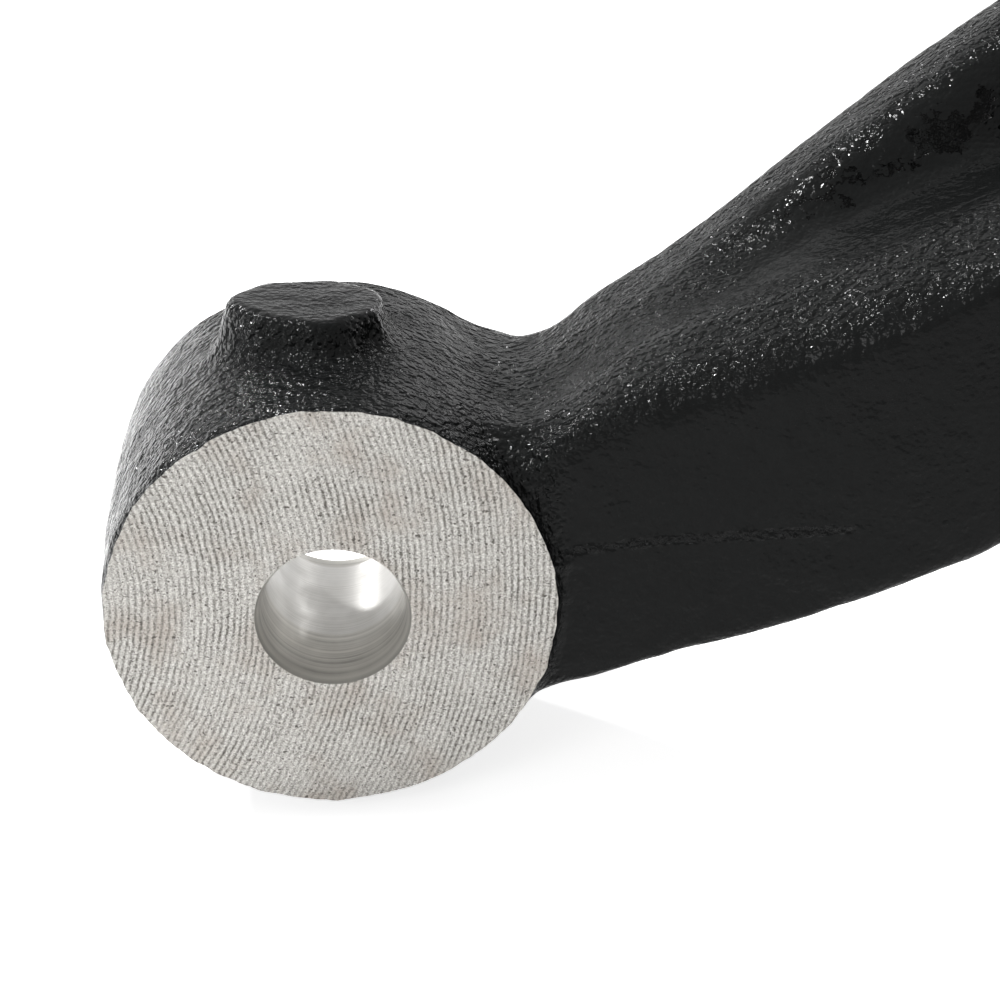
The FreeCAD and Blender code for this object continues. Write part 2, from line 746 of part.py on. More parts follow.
def blade_carrier():
    """Cast carrier: a hub on the pivot bolt, a horn for the stop screw, and a plate for the blade."""
    body = new_body("blade_carrier")
    back = f"({BLADE_OUT} + mount_t)"
    upright_ring(
        body,
        "carrier_plate",
        [(BLADE_OUT, "mount_low"), (back, "mount_low"), (back, "mount_top"), (BLADE_OUT, "mount_top")],
        "mount_span",
    )
    pin_x, pin_z = "-blade_reach", "blade_drop"
    web = new_sketch(body, "carrier_web_outline", "XZ_Plane")
    polygon(
        web,
        [
            (f"-{back} + mount_t / 2", "mount_low + mount_t"),
            (f"-{back} + mount_t / 2", f"{pin_z} - tongue_r / 3"),
            (f"{pin_x} + tongue_r / 2", f"{pin_z} + tongue_r / 2"),
            (f"{pin_x} - tongue_r * 0.97", f"{pin_z}"),
            (f"{pin_x} - tongue_r * 0.95", f"{pin_z} - tongue_r * 1.6"),
            (f"-{back} - 3", "mount_low + mount_t"),
        ],
    )
    pad(body, "carrier_web", web, "2 * tongue_half")
    hub = circle(new_sketch(body, "carrier_hub_outline", "XZ_Plane"), pin_x, pin_z, "tongue_r")
    pad(body, "carrier_hub", hub, "2 * tongue_half")
    horn = new_sketch(body, "carrier_horn_outline", "XZ_Plane")
    along = ("cos(bridge_angle * 1 deg)", "sin(bridge_angle * 1 deg)")

    def near_pin(forward, outward):
        """A point by the pivot, from distances along the stop screw and outwards from it."""
        return (
            f"{pin_x} + ({forward}) * {along[0]} + ({outward}) * {along[1]}",
            f"{pin_z} - ({forward}) * {along[1]} + ({outward}) * {along[0]}",
        )

    polygon(
        horn,
        [
            near_pin("-tongue_r / 2.5", "tongue_r / 2"),
            near_pin("tongue_r / 2.5", "tongue_r / 2"),
            near_pin("tongue_r / 4", "tongue_r * 1.55"),
            near_pin("-tongue_r / 2.5", "tongue_r * 1.55"),
        ],
    )
    pad(body, "carrier_horn", horn, "2 * tongue_half")
    seat = circle(new_sketch(body, "bush_seat_outline", "XZ_Plane"), pin_x, pin_z, "tongue_bush_r")
    pocket(body, "bush_seat", seat, "4 * tongue_half")
    rows = ("bolt_row_low", "bolt_row_high")
    drill_for_blade(body, "carrier", "blade_bolt_r + small_fit", "blade_bolt_turn", rows)
    keep(at(body, "blade_axis_x", "0", "blade_axis_z"), "blade_carrier")


def drill_for_blade(body, name, radius, angle, heights):
    """Radial holes through a body that is drawn about the blade's axis, either side of the middle."""
    for hand in ("-", ""):
        for number, height in enumerate(heights):
            side = "near" if hand else "far"
            sketch = new_sketch(body, f"{name}_hole_{side}_{number}", "YZ_Plane")
            sketch.AttachmentOffset = Placement(Vector(), Rotation(Vector(0, 1, 0), 0.0))
            bind(
                sketch,
                AttachmentOffset__Base__x=f"{hand}({BLADE_OUT}) * sin(({angle}) * 1 deg)",
                AttachmentOffset__Base__y=height,
                AttachmentOffset__Base__z=f"-({BLADE_OUT}) * cos(({angle}) * 1 deg)",
                AttachmentOffset__Rotation__Angle=f"{'' if hand else '-'}({angle}) * 1 deg",
            )
            circle(sketch, "0", "0", radius)
            pocket(body, sketch.Name + "_drilling", sketch, "3 * mount_t")


def blade():
    """Curved steel shovel that presses the tyre's bead down, bolted to the carrier."""
    body = new_body("blade")
    lean = "(blade_bend - blade_edge_z) * tan(blade_lean * 1 deg)"
    upright_ring(
        body,
        "blade_sheet",
        [
            ("blade_in_r", "blade_top"),
            ("blade_in_r", "blade_bend"),
            (f"blade_in_r + {lean}", "blade_edge_z"),
            (f"blade_in_r + {lean} + blade_edge_t", "blade_edge_z"),
            (BLADE_OUT, "blade_bend"),
            (BLADE_OUT, "blade_top"),
        ],
        "blade_span",
    )
    rows = ("bolt_row_low", "bolt_row_high")
    guard_row = ("guard_screw_z",)
    drill_for_blade(body, "blade", "blade_bolt_r + small_fit", "blade_bolt_turn", rows)
    drill_for_blade(body, "blade_guard", "guard_screw_r + small_fit", "guard_screw_turn", guard_row)
    keep(at(body, "blade_axis_x", "0", "blade_axis_z"), "blade")


def blade_guard():
    """Nylon sheet on the blade's rim side, so that it can't scratch the wheel."""
    body = new_body("blade_guard")
    lean = "(blade_bend - guard_low) * tan(blade_lean * 1 deg)"
    upright_ring(
        body,
        "guard_sheet",
        [
            ("blade_in_r - guard_t", "guard_top"),
            ("blade_in_r", "guard_top"),
            ("blade_in_r", "blade_bend"),
            (f"blade_in_r + {lean}", "guard_low"),
            (f"blade_in_r + {lean} - guard_t / 2", "guard_low"),
            ("blade_in_r - guard_t", "blade_bend - guard_t"),
        ],
        "guard_span",
    )
    guard_row = ("guard_screw_z",)
    drill_for_blade(body, "guard", "guard_screw_r + small_fit", "guard_screw_turn", guard_row)
    keep(at(body, "blade_axis_x", "0", "blade_axis_z"), "blade_guard")


def blade_fasteners():
    """The bolts, washers and nuts that hold the blade, and the screws and nuts that hold its guard."""
    seat = "sqrt(blade_in_r ^ 2 - bolt_head_r ^ 2)"
    grip = f"({BLADE_OUT} + mount_t - {seat})"
    tail = f"-{grip} - bolt_washer_t - bolt_nut_high - end_land / 2"
    bolt = rod("blade_bolt", "blade_bolt_r", tail, "0")
    head = polygon(
        new_sketch(bolt, "blade_bolt_head_section", "XY_Plane"),
        [("0", "0"), ("bolt_head_r", "0"), ("bolt_head_r * 0.6", "blade_bolt_r"), ("0", "blade_bolt_r")],
    )
    turn(bolt, "blade_bolt_head", head)
    washer = turned_ring(
        "blade_bolt_washer",
        ring_corners("blade_bolt_r + small_fit", "bolt_washer_r", f"-{grip} - bolt_washer_t", f"-{grip}"),
    )
    under = f"-{grip} - bolt_washer_t"
    nut = nut_body("blade_bolt_nut", "blade_bolt_r", "bolt_flat", f"{under} - bolt_nut_high", under)
    pieces = (("blade_bolts", bolt), ("blade_washers", washer), ("blade_nuts", nut))
    for name, piece in pieces:
        copies = []
        for hand in ("-", ""):
            for height in ("bolt_row_low", "bolt_row_high"):
                where = on_blade(seat, f"{hand}blade_bolt_turn")
                angle = f"-90 - ({hand}blade_bolt_turn)"
                place = (*where, f"blade_axis_z + {height}")
                copies.append(placed(piece, name, *place, angle, (0, 0, 1)))
        group(name, copies)
    seat = "sqrt((blade_in_r - guard_t) ^ 2 - (2 * guard_screw_r) ^ 2)"
    back = f"-({BLADE_OUT} - {seat})"
    screw = rod("guard_screw", "guard_screw_r", f"{back} - guard_nut_high - end_land / 2", "0")
    dome = polygon(
        new_sketch(screw, "guard_screw_head_section", "XY_Plane"),
        [
            ("0", "0"),
            ("guard_screw_r * 2", "0"),
            ("guard_screw_r * 1.4", "guard_screw_r * 0.9"),
            ("0", "guard_screw_r * 0.9"),
        ],
    )
    turn(screw, "guard_screw_head", dome)
    guard_nut = nut_body("guard_nut", "guard_screw_r", "guard_flat", f"{back} - guard_nut_high", back)
    for name, piece in (("guard_screws", screw), ("guard_nuts", guard_nut)):
        copies = []
        for hand in ("-", ""):
            where = on_blade(seat, f"{hand}guard_screw_turn")
            angle = f"-90 - ({hand}guard_screw_turn)"
            place = (*where, "blade_axis_z + guard_screw_z")
            copies.append(placed(piece, name, *place, angle, (0, 0, 1)))
        group(name, copies)


def return_spring():
    """Torsion spring of steel wire round the far spacer.

    One leg lies on the arm's web, and the other behind the carrier's plate.
    """
    radius, pitch = value("spring_r"), value("spring_pitch")
    lean = math.radians(value("spring_lean"))
    sweep = 2.5 * math.pi - lean
    base_y = value("tongue_half + side_gap + spring_wire + side_gap")
    high = pitch * sweep / (2 * math.pi)
    coil = Part.makeLongHelix(pitch, high, radius, 0, True)
    coil.rotate(Vector(), Vector(1, 0, 0), -90)
    coil.translate(Vector(0, base_y, 0))
    low = min((v.Point for v in coil.Vertexes), key=lambda p: p.y)
    coil.rotate(Vector(), Vector(0, 1, 0), -math.degrees(lean - math.atan2(low.z, low.x)))
    low = min((v.Point for v in coil.Vertexes), key=lambda p: p.y)
    top = max((v.Point for v in coil.Vertexes), key=lambda p: p.y)
    hook = low + Vector(math.sin(lean), 0, -math.cos(lean)) * value("spring_hook")
    leg = top + Vector(-1, 0, 0) * value("spring_leg")
    path = Part.Wire([Part.makeLine(hook, low), *coil.Edges, Part.makeLine(top, leg)])
    aim = (low - hook).normalize()
    ring = Part.Wire([Part.makeCircle(value("spring_wire"), hook, aim)])
    made = doc.addObject("Part::Feature", "return_spring")
    made.Shape = path.makePipeShell([ring], True, True, 0)
    at(made, PIN_X, "0", PIN_Z)
    keep(made, "return_spring")


def along_x(body, name, corners):
    """Turns (place along X, radius) corners about the body's own X axis."""
    section = polygon(new_sketch(body, name + "_section", "XY_Plane"), corners)
    return turn(body, name, section, axis="H_Axis")


def tilt(thing, angle):
    """Turns a piece about Y, from X towards the floor."""
    thing.Placement = Placement(thing.Placement.Base, Rotation(Vector(0, 1, 0), 1.0))
    return bind(thing, Placement__Rotation__Angle=f"({angle}) * 1 deg")


def stop_screw():
    """The screw that sets the blade's rest angle, and its lock nut behind the bridge."""
    reach = f"({MID_R} * sin((arch_angle - bridge_angle) * 1 deg) - tongue_r / 2.5 - side_gap / 2)"
    tail = "(-bridge_half - stop_nut_high - stop_r)"
    screw = new_body("stop_screw")
    along_x(
        screw,
        "stop_screw_turning",
        [
            (tail, "0"),
            (tail, "stop_r - 1"),
            (f"{tail} + 1", "stop_r"),
            (f"{reach} - 2", "stop_r"),
            (reach, "stop_r * 0.6"),
            (reach, "0"),
        ],
    )
    nut = new_body("stop_nut")
    middle = "-bridge_half - stop_nut_high / 2"
    flats = hexagon(new_sketch(nut, "stop_nut_hexagon", "YZ_Plane", middle), "0", "0", "stop_flat")
    pad(nut, "stop_nut_hex", flats, "stop_nut_high")
    hole = circle(new_sketch(nut, "stop_nut_hole_at", "YZ_Plane"), "0", "0", "stop_r")
    pocket(nut, "stop_nut_hole", hole, "4 * bridge_half")
    for name, piece in (("stop_screw", screw), ("stop_nut", nut)):
        x, z = by_bridge("0", "stop_axis")
        keep(tilt(at(piece, x, "0", z), "bridge_angle"), name)


def handle():
    """Steel bar with a welded flange on the near wall, its screws and washers, and a rubber grip."""
    bar = new_body("handle_bar")
    flange = new_sketch(bar, "flange_outline", "XZ_Plane", "-flange_t / 2")
    polygon(
        flange,
        [
            ("-flange_long / 2", "-flange_tall / 2"),
            ("flange_long / 2", "-flange_tall / 2"),
            ("flange_long / 2", "flange_tall / 2"),
            ("-flange_long / 2", "flange_tall / 2"),
        ],
    )
    pad(bar, "flange", flange, "flange_t")
    path = new_sketch(bar, "handle_path", "XY_Plane")
    last = "(handle_end_x - handle_x)"
    turn_x = value("handle_bend_r")
    turn_y = -value("handle_out")
    half = value("handle_bend_r") * (1 - math.sqrt(0.5))
    path.addGeometry(Part.LineSegment(Vector(0, 0, 0), Vector(0, turn_y + turn_x, 0)), False)
    corner_in = Vector(0, turn_y + turn_x, 0)
    corner_out = Vector(turn_x, turn_y, 0)
    path.addGeometry(Part.Arc(corner_in, Vector(half, turn_y + half, 0), corner_out), False)
    path.addGeometry(Part.LineSegment(corner_out, Vector(value(last), turn_y, 0)), False)
    for first, end, second, start in ((0, 2, 1, 1), (1, 2, 2, 1)):
        path.addConstraint(Sketcher.Constraint("Coincident", first, end, second, start))
    fix_point(path, 0, 1, "0", "0")
    fix_point(path, 0, 2, "0", "-(handle_out - handle_bend_r)")
    fix_point(path, 1, 2, "handle_bend_r", "-handle_out")
    fix_point(path, 2, 2, last, "-handle_out")
    bend = path.addConstraint(Sketcher.Constraint("Radius", 1, value("handle_bend_r")))
    path.setExpression(f"Constraints[{bend}]", full("handle_bend_r"))
    ring = circle(new_sketch(bar, "handle_section", "XZ_Plane"), "0", "0", "handle_r")
    tube = bar.newObject("PartDesign::AdditivePipe", "handle_tube")
    tube.Profile = ring
    tube.Spine = path
    holes = new_sketch(bar, "flange_holes_at", "XZ_Plane")
    for hand in ("-", ""):
        circle(holes, f"{hand}handle_bolt_off", "0", "small_r + small_fit")
    pocket(bar, "flange_holes", holes, "4 * flange_t")
    face = "(-arm_half - flange_t)"
    keep(at(bar, "handle_x", face, "handle_z"), "handle_bar")
    grip = new_body("handle_grip")
    start, closed = f"{last} - grip_len", f"{last} + grip_over"
    along_x(
        grip,
        "grip_turning",
        [
            (start, "handle_r"),
            (start, "grip_r - 2"),
            (f"{start} + 4", "grip_r"),
            (f"{closed} - 4", "grip_r"),
            (closed, "grip_r - 4"),
            (closed, "0"),
            (last, "0"),
            (last, "handle_r"),
        ],
    )
    keep(at(grip, "handle_x", f"{face} - handle_out", "handle_z"), "handle_grip")
    screw = rod("handle_screw", "small_r", "-small_washer_t", "flange_t + bolt_reach")
    under = "-small_washer_t"
    hex_head(screw, "handle_screw_head", "small_flat", f"{under} - small_head", under)
    corners = ring_corners("small_r + small_fit", "small_washer_r", under, "0")
    washer = turned_ring("handle_washer", corners)
    for name, piece in (("handle_screws", screw), ("handle_washers", washer)):
        copies = []
        for hand in ("-", "+"):
            x = f"handle_x {hand} handle_bolt_off"
            copies.append(placed(piece, name, x, face, "handle_z"))
        group(name, copies)


def bumper():
    """Rubber stop under the arch that meets the changer's side, with its screw and nut."""
    seat = "(arch_in_r + bumper_seat)"
    floor = "(arch_in_r + web)"
    recess = f"({seat} - bumper_high + small_head + 4)"
    rubber = new_body("bumper")
    section = polygon(
        new_sketch(rubber, "bumper_section", "XZ_Plane"),
        [
            ("bumper_head_r", f"{seat} - bumper_high"),
            ("bumper_r - 2", f"{seat} - bumper_high"),
            ("bumper_r", f"{seat} - bumper_high + 3"),
            ("bumper_r", seat),
            ("small_r + small_fit", seat),
            ("small_r + small_fit", recess),
            ("bumper_head_r", recess),
        ],
    )
    turn(rubber, "bumper_turning", section)
    screw = new_body("bumper_screw")
    shank = polygon(
        new_sketch(screw, "bumper_screw_section", "XZ_Plane"),
        [
            ("0", f"{recess} - small_head"),
            ("small_head + 1", f"{recess} - small_head"),
            ("small_head + 2", f"{recess} - small_head / 2"),
            ("small_head + 2", recess),
            ("small_r", recess),
            ("small_r", f"{floor} + eye_nut_high + end_land"),
            ("0", f"{floor} + eye_nut_high + end_land"),
        ],
    )
    turn(screw, "bumper_screw_turning", shank)
    nut = new_body("bumper_nut")
    middle = f"{floor} + eye_nut_high / 2"
    flats = hexagon(new_sketch(nut, "bumper_nut_hexagon", "XY_Plane", middle), "0", "0", "small_flat")
    pad(nut, "bumper_nut_hex", flats, "eye_nut_high")
    hole = circle(new_sketch(nut, "bumper_nut_hole_at", "XY_Plane", floor), "0", "0", "small_r")
    pocket(nut, "bumper_nut_hole", hole, "4 * eye_nut_high")
    for name, piece in (("bumper", rubber), ("bumper_screw", screw), ("bumper_nut", nut)):
        keep(tilt(at(piece, "arch_x", "0", "arch_z"), "bumper_angle"), name)


def spring_eye():
    """Eyebolt on the far wall that the arm's own return spring hooks into, and its nut in the channel."""
    centre = "(arm_half + washer_t + eye_r + eye_wire)"
    inside = f"(channel_half - {centre})"
    eye = rod("spring_eye", "small_r", f"{inside} - eye_nut_high - end_land", "-eye_r")
    wire = circle(new_sketch(eye, "eye_section", "XZ_Plane"), "eye_r", "0", "eye_wire")
    turn(eye, "eye_ring", wire)
    collar = polygon(
        new_sketch(eye, "eye_collar_section", "XY_Plane"),
        [
            ("0", f"arm_half - {centre}"),
            ("small_washer_r", f"arm_half - {centre}"),
            ("small_r", f"arm_half + washer_t - {centre}"),
            ("0", f"arm_half + washer_t - {centre}"),
        ],
    )
    turn(eye, "eye_collar", collar)
    keep(at(eye, "eye_x", centre, "eye_z"), "spring_eye")
    nut = nut_body("spring_eye_nut", "small_r", "small_flat", "-eye_nut_high", "0")
    keep(at(nut, "eye_x", "channel_half", "eye_z"), "spring_eye_nut")


pieces_made = (
    arm_casting, pivot_bush, trunnion, blade_pivot, blade_carrier, blade, blade_guard, blade_fasteners,
    return_spring, stop_screw, handle, bumper, spring_eye,
)
for make in pieces_made:
    make()
doc.recompute()
failed = [o.Name for o in doc.Objects if "Invalid" in o.State or "Error" in o.State]
failed += [n for n, thing in nodes.items() if thing.Shape.isNull() or not thing.Shape.isValid()]
if failed:
    raise SystemExit("not made: " + ", ".join(failed))

os.makedirs("parts", exist_ok=True)
for name, thing in nodes.items():
    thing.Shape.exportStep(f"parts/{name}.step")
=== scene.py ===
import json
import math

import bpy
import numpy as np
from mathutils import Matrix, Vector

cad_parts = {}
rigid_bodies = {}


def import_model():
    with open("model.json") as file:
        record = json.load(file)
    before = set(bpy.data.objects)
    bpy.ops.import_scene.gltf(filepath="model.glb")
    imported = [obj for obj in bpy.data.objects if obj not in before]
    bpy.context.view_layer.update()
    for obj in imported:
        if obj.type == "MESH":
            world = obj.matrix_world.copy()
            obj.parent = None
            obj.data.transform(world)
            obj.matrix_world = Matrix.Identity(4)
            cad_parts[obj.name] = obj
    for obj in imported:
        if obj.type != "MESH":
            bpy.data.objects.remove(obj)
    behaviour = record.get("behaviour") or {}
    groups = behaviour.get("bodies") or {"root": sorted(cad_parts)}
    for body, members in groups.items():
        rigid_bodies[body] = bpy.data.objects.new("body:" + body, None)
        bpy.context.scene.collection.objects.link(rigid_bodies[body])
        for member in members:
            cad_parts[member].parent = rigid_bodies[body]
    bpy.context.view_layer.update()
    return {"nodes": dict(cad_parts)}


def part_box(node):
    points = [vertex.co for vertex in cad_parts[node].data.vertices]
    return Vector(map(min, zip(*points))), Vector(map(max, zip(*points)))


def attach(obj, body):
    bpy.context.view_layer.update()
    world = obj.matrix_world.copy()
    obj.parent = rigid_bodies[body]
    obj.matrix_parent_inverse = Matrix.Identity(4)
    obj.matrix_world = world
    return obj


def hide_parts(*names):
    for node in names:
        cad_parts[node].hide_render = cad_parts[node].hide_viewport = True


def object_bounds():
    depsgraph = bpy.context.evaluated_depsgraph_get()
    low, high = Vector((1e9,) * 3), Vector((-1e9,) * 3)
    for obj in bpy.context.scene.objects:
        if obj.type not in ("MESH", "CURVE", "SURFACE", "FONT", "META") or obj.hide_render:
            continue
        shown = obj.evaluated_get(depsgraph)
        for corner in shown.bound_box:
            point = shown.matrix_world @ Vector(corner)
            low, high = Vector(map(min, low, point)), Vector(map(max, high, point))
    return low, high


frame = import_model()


# ---- The arm: one iron sand casting. The boss, its riser stump, the flared neck, the channelled arch and
# the fork are moulded together, with soft fillets and a grainy skin. Black enamel covers all of it but the
# faces and bores that are machined afterwards. Sizes are in mm and degrees.
ARCH_X, ARCH_Z = 272.0, -118.0
ARCH_IN, ARCH_OUT = 202.0, 263.0
ARCH_MIDDLE = (ARCH_IN + ARCH_OUT) / 2.0
ARCH_TURN = math.radians(38.4)
PIN_X = ARCH_X + ARCH_MIDDLE * math.sin(ARCH_TURN)
PIN_Z = ARCH_Z + ARCH_MIDDLE * math.cos(ARCH_TURN)
HEEL_R = 277.0
ROOT_X = 8.0
NECK_HALF, ARM_HALF = 23.6, 33.0
FLARE_FROM, FLARE_TO = 40.0, 108.0
BOSS_R, BOSS_HALF, BOSS_CAST_HALF = 41.1, 26.0, 30.0
CHANNEL_HALF, CHANNEL_FLOOR_R = 19.0, 218.0
CHANNEL_END = math.radians(31.5)
BRIDGE_TURN = math.radians(26.5)
BRIDGE_HALF, BRIDGE_R, BRIDGE_THICK_HALF = 11.0, 254.0, 8.0
TRUNNION_X, TRUNNION_Z = 250.0, 122.0
TRUNNION_PAD_R, EAR_PAD_R, PAD_CAST_Y = 28.5, 26.5, 27.5
STUMP_X, STUMP_Y = -4.2, 3.0
STUMP_R, STUMP_TOP = 14.6, 46.4


def soft_least(a, b, reach):
    """The lesser of two fields, with a fillet.

    Where they differ by under reach, a parabola rounds the corner.
    """
    mix = np.clip(0.5 + 0.5 * (b - a) / reach, 0.0, 1.0)
    return b + (a - b) * mix - reach * mix * (1.0 - mix)


def soft_most(a, b, reach):
    """The greater of two fields, with the same rounding."""
    return -soft_least(-a, -b, reach)


def ease(low, high, at):
    """0 up to low and 1 from high, and between them 3t^2 - 2t^3."""
    t = np.clip((at - low) / (high - low), 0.0, 1.0)
    return t * t * (3.0 - 2.0 * t)


def crest_height(x):
    """Height of the arm's upper edge: a straight slope at ARCH_TURN, tangent to the arch's outer circle."""
    join_x = ARCH_X - ARCH_OUT * math.sin(ARCH_TURN)
    join_z = ARCH_Z + ARCH_OUT * math.cos(ARCH_TURN)
    slope = join_z + (x - join_x) * math.tan(ARCH_TURN)
    circle = ARCH_Z + np.sqrt(np.maximum(ARCH_OUT**2 - (x - ARCH_X) ** 2, 1.0))
    return np.where(x < join_x, slope, circle)


def arm_side(x, z):
    """Distance to the arm seen from the side.

    It is a band along the arch, a nose round the pin beyond it, and before it the straight slope over the
    heel's hollow circle, which drops a little towards the boss.
    """
    half_deep = (ARCH_OUT - ARCH_IN) / 2.0
    angle = np.arctan2(x - ARCH_X, z - ARCH_Z)
    radius = np.hypot(x - ARCH_X, z - ARCH_Z)
    band = np.abs(radius - ARCH_MIDDLE) - half_deep
    nose = np.hypot(x - PIN_X, z - PIN_Z) - half_deep
    heel_x = ARCH_X - (ARCH_IN + HEEL_R) * math.sin(ARCH_TURN)
    heel_z = ARCH_Z + (ARCH_IN + HEEL_R) * math.cos(ARCH_TURN)
    under = np.hypot(x - heel_x, z - heel_z) - HEEL_R
    under = under - 2.2 * (1.0 - ease(60.0, 100.0, x)) - 2.5 * (1.0 - ease(44.0, 64.0, x))
    over = radius * np.cos(angle + ARCH_TURN) - ARCH_OUT
    root = np.maximum(np.maximum(over, under), ROOT_X - x)
    return np.where(angle > ARCH_TURN, nose, np.where(angle < -ARCH_TURN, root, band))


def half_width(x):
    """Half the arm's width: a slim neck that flares into parallel walls."""
    return NECK_HALF + (ARM_HALF - NECK_HALF) * ease(FLARE_FROM, FLARE_TO, x)


def boss_field(x, y, z):
    """Distance to the boss: a drum along y that widens a little to its far side, with rounded rims."""
    taper = 0.075 * y - 0.0013 * y * y
    rim = 0.35 * np.exp(-(((y + BOSS_HALF + 0.3) / 1.2) ** 2))
    return soft_most(np.hypot(x, z) - (BOSS_R + taper - rim), np.abs(y) - BOSS_CAST_HALF, 3.0)


def ridge_drop(x, y):
    """How far the neck's top sinks: the near ridge falls away along x and outwards, and the neck swells."""
    rising = 0.5 * (x - 59.0 + np.hypot(x - 59.0, 9.0))
    outwards = 0.5 * (-y - 11.0 + np.hypot(y + 11.0, 4.0))
    drop = 0.24 * np.minimum(rising, 60.0) * (1.0 - ease(-12.0, -2.0, y))
    drop = drop + 0.40 * outwards * ease(34.0, 58.0, x)
    swell = 2.4 * np.exp(-(((x - 46.0) / 13.0) ** 2))
    return drop * (1.0 - ease(118.0, 190.0, x)) - swell


def channel_field(x, y, z, top):
    """Distance to the open channel: it starts on the neck, deepens, and widens between the walls."""
    whole_arch = ease(118.0, 190.0, x)
    floor = top + 4.0 - 9.0 * ease(50.0, 72.0, x) - 10.0 * ease(68.0, 105.0, x)
    floor = floor - 20.0 * ease(95.0, 150.0, x) - 13.0 * ease(130.0, 180.0, x)
    arch_floor = ARCH_Z + np.sqrt(np.maximum(CHANNEL_FLOOR_R**2 - (x - ARCH_X) ** 2, 1.0))
    floor = np.where(x > 150.0, np.maximum(floor, arch_floor), floor)
    wide = 3.0 + 6.0 * ease(56.0, 95.0, x) + 10.0 * ease(125.0, 195.0, x)
    lean = (0.35 + 0.9 * (1.0 - ease(60.0, 90.0, x))) * (1.0 - ease(130.0, 200.0, x))
    middle = -2.0 * (1.0 - whole_arch)
    side = np.abs(y - middle) - wide - np.maximum(z - floor, 0.0) * lean
    hollow = soft_most(floor - z, side, 7.0)
    past_end = (np.arctan2(x - ARCH_X, z - ARCH_Z) - CHANNEL_END) * CHANNEL_FLOOR_R
    return np.minimum(hollow, np.maximum(np.abs(y) - CHANNEL_HALF, -past_end))


def bridge_field(x, y, z):
    """Distance to the stop screw's bridge: a block across the channel, square to the arch's radius."""
    along = (x - ARCH_X) * math.cos(BRIDGE_TURN) - (z - ARCH_Z) * math.sin(BRIDGE_TURN)
    away = (x - ARCH_X) * math.sin(BRIDGE_TURN) + (z - ARCH_Z) * math.cos(BRIDGE_TURN)
    across = np.maximum(np.abs(along) - BRIDGE_HALF, np.abs(y) - 24.0)
    return soft_most(across, np.abs(away - BRIDGE_R) - BRIDGE_THICK_HALF, 2.5)


def stump_field(x, y, z):
    """Distance to the riser's stump: a leaning, uneven oval with three and seven waves round it."""
    turn = np.arctan2(y - STUMP_Y, x - STUMP_X)
    waves = 0.7 * np.cos(3.0 * turn + 0.6) + 0.35 * np.cos(7.0 * turn)
    oval = np.hypot((x - STUMP_X) / 1.02, (y - STUMP_Y) / 0.9) + waves
    stump = soft_most(oval - STUMP_R + (z - 40.0) * 0.3, z - STUMP_TOP, 1.6)
    return np.maximum(stump, 20.0 - z)


def casting_field(x, y, z):
    """Signed distance to the casting, below 0 inside: boss, stump, arm, channel and pads, with fillets."""
    side_y = np.abs(y)
    top = crest_height(x)
    upper = ease(-34.0, -16.0, z - top)
    side = arm_side(x, z + ridge_drop(x, y) * upper)
    arm = soft_most(side, side_y - half_width(x), 3.5 + 2.5 * upper)
    arm = soft_most(arm, -channel_field(x, y, z, top), 3.0 + 5.0 * (1.0 - ease(130.0, 190.0, x)))
    arm = soft_least(arm, bridge_field(x, y, z), 3.0)
    pads = ((TRUNNION_X, TRUNNION_Z, TRUNNION_PAD_R), (PIN_X, PIN_Z, EAR_PAD_R))
    for pad_x, pad_z, pad_r in pads:
        pad = soft_most(np.hypot(x - pad_x, z - pad_z) - pad_r, np.abs(side_y - PAD_CAST_Y) - 8.5, 2.0)
        arm = soft_least(arm, pad, 3.5)
    whole = soft_least(boss_field(x, y, z), arm, 3.0 + 12.0 * (1.0 - ease(15.0, 24.0, -y)))
    return soft_least(whole, stump_field(x, y, z), 3.2)


def speckle(points, size, seed):
    """Smooth random heights, -1 to 1: a seeded lattice of the given cell size, eased between its corners."""
    lattice = np.random.default_rng(seed).uniform(-1.0, 1.0, (32, 32, 32))
    place = points / size
    cell = np.floor(place).astype(int)
    part = place - cell
    part = part * part * (3.0 - 2.0 * part)
    total = np.zeros(len(points))
    for corner in range(8):
        step = np.array([corner & 1, corner >> 1 & 1, corner >> 2 & 1])
        weight = np.prod(np.where(step, part, 1.0 - part), axis=1)
        i, j, k = ((cell + step) % 32).T
        total += weight * lattice[i, j, k]
    return total


